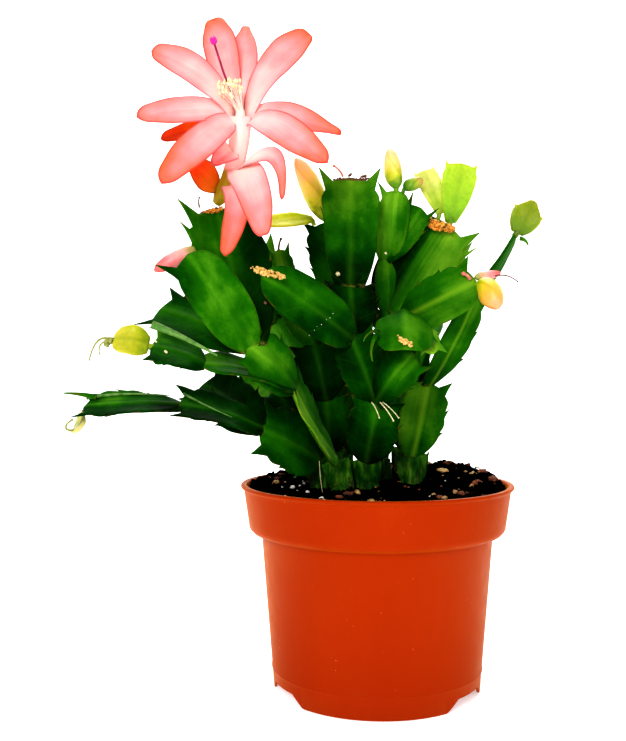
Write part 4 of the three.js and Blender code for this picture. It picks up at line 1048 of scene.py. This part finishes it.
def grow(shape, slots, growths, scars):
    """Adds roots, claws, folds pale with a painted highlight, and dried remains, and the lumps of
    scars and scales.
    """
    for tissue, corners, radius in growths:
        path = bezier(corners, 14, ends=True)
        green = tissue in ("leaf", "fold")
        taper = np.linspace(1, 0.25 if green else 0.7, len(path))
        tube(shape, path, radius * taper, 10, slot=slots[tissue], tone=0.55)
        if not green:
            pebble(shape, path[-1], (radius * 1.2,) * 3, radius * 9, slots[tissue], 2, 0.4)
    for tissue, start, end, count, spread, radius in scars:
        run = np.subtract(end, start)
        for k in range(count):
            seed = count + k
            stray = np.array([draw(seed, 3), 0.5 * draw(seed, 5), draw(seed, 7)]) * spread
            centre = np.array(start) + run * ((k + 0.5) / count) + stray
            lump = radius * (1 + 0.4 * draw(seed, 9))
            pebble(shape, centre, (lump, lump * 0.7, lump * 0.8), k, slots[tissue], 2, 0.5)


def trunk(shape, x, y, ground, seed):
    """The woody foot of a stem: an oval, furrowed stub that stands in the soil."""
    rows, sides = 26, 40
    angle = around(sides)
    levels = np.linspace(ground - ROOT.deep, ground + ROOT.above + ROOT.inside, rows)
    shares = np.linspace(0, 1, rows)
    rings = []
    for level, u in zip(levels, shares):
        swell = 1 - 0.25 * u ** 2
        furrow = 1 + 0.07 * np.sin(5 * angle + seed) + 0.04 * np.sin(11 * angle + 3 * u)  # coarse and fine
        rings.append(np.stack([
            x + ROOT.wide * swell * furrow * np.cos(angle),
            y + ROOT.thick * swell * furrow * np.sin(angle), np.full(sides, level)], axis=1))
    shape.add_rings(rings, 1, along=np.repeat(shares * 0.3, sides))


def make_stems():
    """The leafy stems, each grown from its foot to its tips, and all that grows on them."""
    materials = stem_materials()
    slots = {tissue: i for i, tissue in enumerate(materials)}
    for order, (name, ((x, y), rows)) in enumerate(STEMS.items(), start=1):
        shape = Shape()
        ground = soil_height(x, y)
        trunk(shape, x, y, ground, order)
        apexes = {"root": (np.array([x, y, ground + ROOT.collar]), np.zeros(3), None)}
        for i, (label, parent, tip, wide, turn, bulge, cut, tone, painted_side_light) in enumerate(rows):
            start = apexes[parent][0] - SINK * apexes[parent][1]
            end = np.array(tip, float)
            axis = unit(end - start)
            old = label == "foot"
            segment(shape, start, end, wide, turn, bulge, cut, 10 * order + i, tone, painted_side_light,
                    rise=PAINTED_TIP_LIGHT.get(label, 0), plump=1.25 if old else 1.0, slot=int(old),
                    ribbed=RIBBED.get((name, label), 0))
            apexes[label] = (end, axis, np.cross(axis, facing(axis, turn)))
        APEX[name] = apexes
        grow(shape, slots, GROWTHS.get(name, ()), SCARS.get(name, ()))
        shape.build(f"{name}_leaves", list(materials.values()), "leaf_green", name)


# ---- Young segments and necks ----

YOUNG_HALF = 1.5  # how far a young segment's base reaches to each side, to keep it clear of its apex
YOUNG_SEED = 200  # the first young segment's seed

# A neck starts this far inside the apex and runs this share of its piece's length into the piece. Its
# radius is a share of a young segment's width or of a bud's radius.
NECK = Sizes(sink=0.8, reach=0.1, young=0.1, bud=0.3)


def start_point(origin, tip, half):
    """Where a piece of its own starts: at a point, or just off the apex that carries it."""
    if not isinstance(origin[0], str):
        return np.array(origin, float)
    name, label, shift = origin
    end, axis, side = APEX[name][label]
    lean = math.acos(np.clip(np.dot(axis, unit(np.array(tip) - end)), -1, 1))
    return end + side * shift + axis * (GAP + 0.2 + half * math.sin(lean))


def neck(shape, origin, start, end, radius):
    """A short neck that carries a piece from the apex below it."""
    if not isinstance(origin[0], str):
        return
    name, label, shift = origin
    apex, axis, side = APEX[name][label]
    foot = apex + side * shift - axis * NECK.sink
    path = bezier([foot, start, start + (end - start) * NECK.reach], 6, ends=True)
    tube(shape, path, np.full(len(path), radius), 14, along=0.0, across=0.5, edge=5.0)


def make_young():
    """The young segments, with claws and curls at some tips."""
    for order, (name, (origin, tip, wide, turn, bulge, cut, kind)) in enumerate(YOUNG.items()):
        shape = Shape()
        start, end = start_point(origin, tip, YOUNG_HALF), np.array(tip, float)
        segment(shape, start, end, wide, turn, bulge, cut, YOUNG_SEED + order, 0.5, 0,
                plump=0.75, step=0.6)
        neck(shape, origin, start, end, NECK.young * wide)
        for corners, radius in CLAWS.get(name, ()):
            path = bezier(corners, 16, ends=True)
            tube(shape, path, radius * np.linspace(1, 0.55, len(path)), 10, slot=1)
            pebble(shape, path[-1], (radius * 0.9,) * 3, radius * 9, 1, 2, 0.3)
        claw = speckled(f"claw_{kind}", (0.12, 0.16, 0.02), (0.36, 0.34, 0.1), 1.0, 0.6, 0.05)
        shape.build(f"{name}_blade", [young_material(kind), claw], "young_leaf", name)


# ---- Buds ----

WRAP = Sizes(tepals=3, twist=0.9)  # tepals round a bud, and by how many of them the wrap twists


def make_buds():
    """The buds, each wrapped in tepals that overlap in a spiral."""
    for name, (origin, tip, radius, bow, kind) in BUDS.items():
        start, end = start_point(origin, tip, BUD[0][1] * radius), np.array(tip, float)
        rows, sides = 60, 64
        u = np.linspace(0, 1, rows)
        centres = start + (end - start) * u[:, None]
        centres[:, 1] -= bow * 4 * u * (1 - u)
        radii = np.pad(radius * np.interp(u, *zip(*BUD)), 2, mode="edge")
        radii = np.convolve(radii, np.ones(5) / 5, "valid")
        # From one tepal's edge, at 0, to the next one's, at 1.
        wrap = (WRAP.tepals * around(sides)[None] / (2 * math.pi) + WRAP.twist * u[:, None]) % 1
        swell = 0.96 + 0.07 * wrap + 0.05 * np.cos(2 * math.pi * wrap)
        shape = Shape()
        tube(shape, centres, radii, sides, swell, edge=np.minimum(wrap, 1 - wrap).reshape(-1))
        neck(shape, origin, start, end, NECK.bud * radius)
        shape.build(f"{name}_tepals", [bud_material(kind)], "bud", name)


# ---- Bloom ----

# A petal's root: how far before its own share of the tube it leaves, and how far out from the tube's
# middle it starts, low or high on the tube. Then, as shares of its width, how far it cups and how far
# a draw moves its tip aside.
PETAL = Sizes(before=0.04, low_root=2.2, high_root=3, high_from=0.9, cup=0.12, stray=0.12)


def bloom_path():
    """The corners of the tube's curve: its base, elbow and mouth."""
    elbow = np.array(BLOOM.elbow, float)
    base = start_point((BLOOM.stem, BLOOM.segment, 0), elbow, BLOOM.radii[0][1])
    return base, elbow, np.array(BLOOM.mouth, float)


def flower_tube(shape, path, axis):
    """The fluted tube, turned in at its mouth and down to the bottom of the throat."""
    mouth, throat, sides = path[2], BLOOM.throat, 48
    u = np.linspace(0, 1, 40)
    centres, heads = on_curve(path, u[:, None])
    inside = [mouth + axis * 0.1, mouth - axis * 1.5, mouth - axis * BLOOM.throat_depth]
    centres = np.concatenate([centres, inside])
    heads = np.concatenate([heads, [axis] * 3])
    radii = np.concatenate([np.interp(u, *zip(*BLOOM.radii)), [throat + 0.5, throat, throat]])
    warm_base = 1.2 * np.clip(2.2 - 4.5 * np.linspace(0, 1, len(centres)), 0, 1) + 0.52
    flutes = 1 + 0.035 * np.cos(6 * around(sides))
    tube(shape, centres, radii, sides, flutes, heads, along=0.0, across=0.0, edge=5.0,
         tone=np.repeat(warm_base, sides))


def petal(shape, path, row, order):
    """One petal, bent away from the tube."""
    place, tip, wide, turn, follow, spread, sway, cut, warmth = row
    end = np.array(tip, float)
    centre, axis = on_curve(path, place - PETAL.before)
    out = end - centre
    out = unit(out - axis * np.dot(out, axis))
    start = centre + out * (PETAL.high_root if place > PETAL.high_from else PETAL.low_root)
    corners = (start, start + axis * follow + out * spread, end)
    steps, _ = on_curve(corners, np.linspace(0, 1, 40)[:, None])
    length = float(np.sum(np.linalg.norm(np.diff(steps, axis=0), axis=1)))
    cup, stray = PETAL.cup * wide, PETAL.stray * draw(order, 3) * wide

    def surface(flat):
        u, v = np.clip(flat[:, 0:1] / length, -0.05, 1.05), flat[:, 1:2] * 2 / wide
        middle, along = on_curve(corners, u)
        to_front = 0.35 + 0.65 * u
        normal = -out * (1 - to_front) + FRONT * to_front
        normal = unit(normal - along * np.sum(normal * along, axis=1, keepdims=True))
        normal = turn_about(normal, along, np.radians(turn * u[:, 0]))
        across = np.cross(along, normal)
        # Cupped and twisting, with waved margins and a crease along the middle.
        lift = cup * v * v * u + 0.6 * v * np.sin(6 * u + order)
        lift = lift + 0.3 * v * v * np.sin(11 * u + 2 * order) - 0.5 * u * np.exp(-((v / 0.18) ** 2))
        return middle + across * (v * wide / 2 + sway * 4 * u * (1 - u)) + normal * lift

    def half(flat, edge):
        return 0.1 + 0.2 * np.sqrt(np.clip(edge / 1.2, 0, 1))

    at = np.linspace(0, 0.93, 30)
    side = np.stack([at * length, reach_at(PETAL_PLACES, PETAL_CUTS[cut], at) * wide / 2], axis=1)
    cap = bezier([side[-1], (length * 0.99, side[-1][1] * 0.8), (length, stray)], 7)[1:]
    side = np.concatenate([side, cap])
    outline = np.concatenate([side * (1, -1), [(length, stray)], side[::-1]])
    blade(shape, outline, length, wide, surface, half, 0.8, lambda flat: warmth)


def make_petals(path, axis):
    """The tube and its petals in one piece."""
    shape = Shape()
    flower_tube(shape, path, axis)
    for order, row in enumerate(PETALS):
        petal(shape, path, row, order)
    shape.build("bloom_petals", [petal_material()], "petal", "flower_petals")


def make_stamens(mouth, axis, bend, knee):
    """The column in the throat, and filaments with anthers fanned out from its end."""
    shape = Shape()
    column, count = STAMENS.column, STAMENS.count
    foot = mouth - axis * (BLOOM.throat_depth - GAP)
    tube(shape, [foot, mouth, bend], [column, column, column * 0.7], 20)
    lean = unit(knee - bend)
    across, third = cross_axes(lean, (1, 0, 0))
    for k in range(count):
        angle = STAMENS.turn * k
        radius = STAMENS.spread * math.sqrt((k + 0.5) / count)
        reach = STAMENS.reach * (0.85 + 0.3 * draw(37, k))
        out = across * math.cos(angle) + third * math.sin(angle)
        root = bend + out * 1.1 - lean * 1.5
        end = bend + out * radius + lean * reach
        path = bezier([root, root + lean * reach * 0.6, end], 7, ends=True)
        tube(shape, path, np.linspace(0.17, 0.12, len(path)), 6)
        pebble(shape, end + lean * 0.4, (0.5, 0.5, 0.85), k, 1, 1, 0.3)
    filament = speckled("filament", (0.88, 0.58, 0.5), (0.92, 0.74, 0.64), 1.0, 0.6, 0.03,
                        Specular_IOR_Level=0.1)
    pollen = speckled("pollen", (0.8, 0.68, 0.3), (0.95, 0.9, 0.62), 0.4, 0.8, 0.12)
    shape.build("bloom_stamens", [filament, pollen], "stamen", "flower_stamens")


def make_pistil(mouth, axis, bend, knee):
    """The style, bent at its knee, and the lobes of its stigma."""
    shape = Shape()
    foot, tip = mouth - axis * PISTIL.depth, np.array(PISTIL.tip, float)
    lean, up = unit(knee - bend), unit(tip - knee)
    before, after = knee - PISTIL.curve * lean, knee + PISTIL.curve * up
    path = np.concatenate([
        bezier([foot, bend], 8), bezier([bend, before], 5), bezier([before, knee, after], 6),
        bezier([after, tip], 8, ends=True)])
    tube(shape, path, np.full(len(path), PISTIL.radius), 14)
    across, third = cross_axes(up, (1, 0, 0))
    for angle in around(PISTIL.lobes):
        out = across * math.cos(angle) + third * math.sin(angle)
        lobe = [tip - up * 0.6, tip + out * 1.2 + up * 0.2, tip + out * 0.7 + up * 1.9]
        tube(shape, bezier(lobe, 7, ends=True), PISTIL.lobe_radii, 10, slot=1)
    style = speckled("style", (0.14, 0.001, 0.02), (0.32, 0.004, 0.08), 2.0, 0.4, 0.02)
    stigma = speckled("stigma", (0.45, 0.003, 0.2), (0.68, 0.012, 0.36), 0.5, 0.55, 0.1)
    shape.build("bloom_pistil", [style, stigma], "pistil", "flower_pistil")


def make_bloom():
    path = bloom_path()
    _, elbow, mouth = path
    axis = unit(mouth - elbow)
    bend, knee = mouth + axis * BLOOM.bend, np.array(PISTIL.knee, float)
    make_petals(path, axis)
    make_stamens(mouth, axis, bend, knee)
    make_pistil(mouth, axis, bend, knee)


# ---- Stage, in metres ----

# The floor: flat from near to far, then a sweep with this radius up to a high wall. It lies a little
# below the ground that the pot stands on.
FLOOR = Sizes(near=-3.0, far=1.6, sweep=0.8, high=4.0, half_width=5, drop=0.0002)
PLANT = (0, 0, 0.13)  # the middle of the plant

# Each light: its place, what it faces, its size and its power.
LAMPS = {
    "key": ((-0.35, -1.1, 0.6), PLANT, 0.5, 9),
    "fill": ((0.9, -0.6, 0.45), PLANT, 0.8, 2),
    "back": ((0.3, 1.0, 0.9), PLANT, 0.8, 4),
    "backdrop_light": ((0, 0.9, 2.6), (0, 2.4, 0.6), 1.5, 45),
}

# The camera: its place in millimetres from the pot's axis at the ground, its tilt below level in degrees,
# and its lens.
CAMERA = Sizes(place=(-25.2, -377, 126.8), tilt=0.34, lens=46.12, sensor=36)


def make_floor():
    """A pale floor that curves up into a pale backdrop far behind."""
    far, sweep, wide = FLOOR.far, FLOOR.sweep, FLOOR.half_width
    rows = [(FLOOR.near, 0.0), (far, 0.0)]
    curve = np.linspace(0.1, math.pi / 2, 14)
    rows += [(far + sweep * math.sin(a), sweep - sweep * math.cos(a)) for a in curve]
    rows.append((far + sweep, FLOOR.high))
    points = [(x, y, z - FLOOR.drop) for y, z in rows for x in (-wide, wide)]
    faces = [(2 * i, 2 * i + 1, 2 * i + 3, 2 * i + 2) for i in range(len(rows) - 1)]
    mesh = bpy.data.meshes.new("floor")
    mesh.from_pydata(points, [], faces)
    mesh.shade_smooth()
    pale = Nodes("pale_floor", Specular_IOR_Level=0.0, Roughness=0.9, Emission_Color=(1.0, 1.0, 1.0),
                 Emission_Strength=0.35)
    shade = pale.ramp(pale.noise(300, 2), (0.3, (0.9, 0.9, 0.9)), (0.7, (0.93, 0.93, 0.93)))
    pale.set(pale.shader, "Base Color", shade)
    mesh.materials.append(pale.material)
    linked("floor", mesh)


def make_lights(scene):
    """Soft lamps and a faint white world."""
    scene.world = scene.world or bpy.data.worlds.new("studio")
    scene.world.use_nodes = True
    sky = scene.world.node_tree.nodes["Background"]
    sky.inputs["Color"].default_value = (1, 1, 1, 1)
    sky.inputs["Strength"].default_value = 0.3
    for name, (place, target, size, power) in LAMPS.items():
        lamp = bpy.data.lights.new(name, "AREA")
        lamp.shape, lamp.size, lamp.energy = "DISK", size, power
        made = linked(name, lamp)
        made.location = place
        made.rotation_euler = (Vector(target) - Vector(place)).to_track_quat("-Z", "Y").to_euler()


def make_camera(scene):
    camera = bpy.data.cameras.new("camera")
    camera.lens, camera.sensor_width = CAMERA.lens, CAMERA.sensor
    camera.clip_start, camera.clip_end = 0.02, 20
    made = linked("camera", camera)
    made.location = Vector(AXIS) + Vector(CAMERA.place) * MM
    made.rotation_euler = (math.radians(90 - CAMERA.tilt), 0, 0)
    scene.camera = made
    scene.view_settings.view_transform = "Standard"
    scene.view_settings.look = "High Contrast"


make_pot()
make_peat()
make_chips()
make_stems()
make_young()
make_buds()
make_bloom()
make_floor()
make_lights(bpy.context.scene)
make_camera(bpy.context.scene)
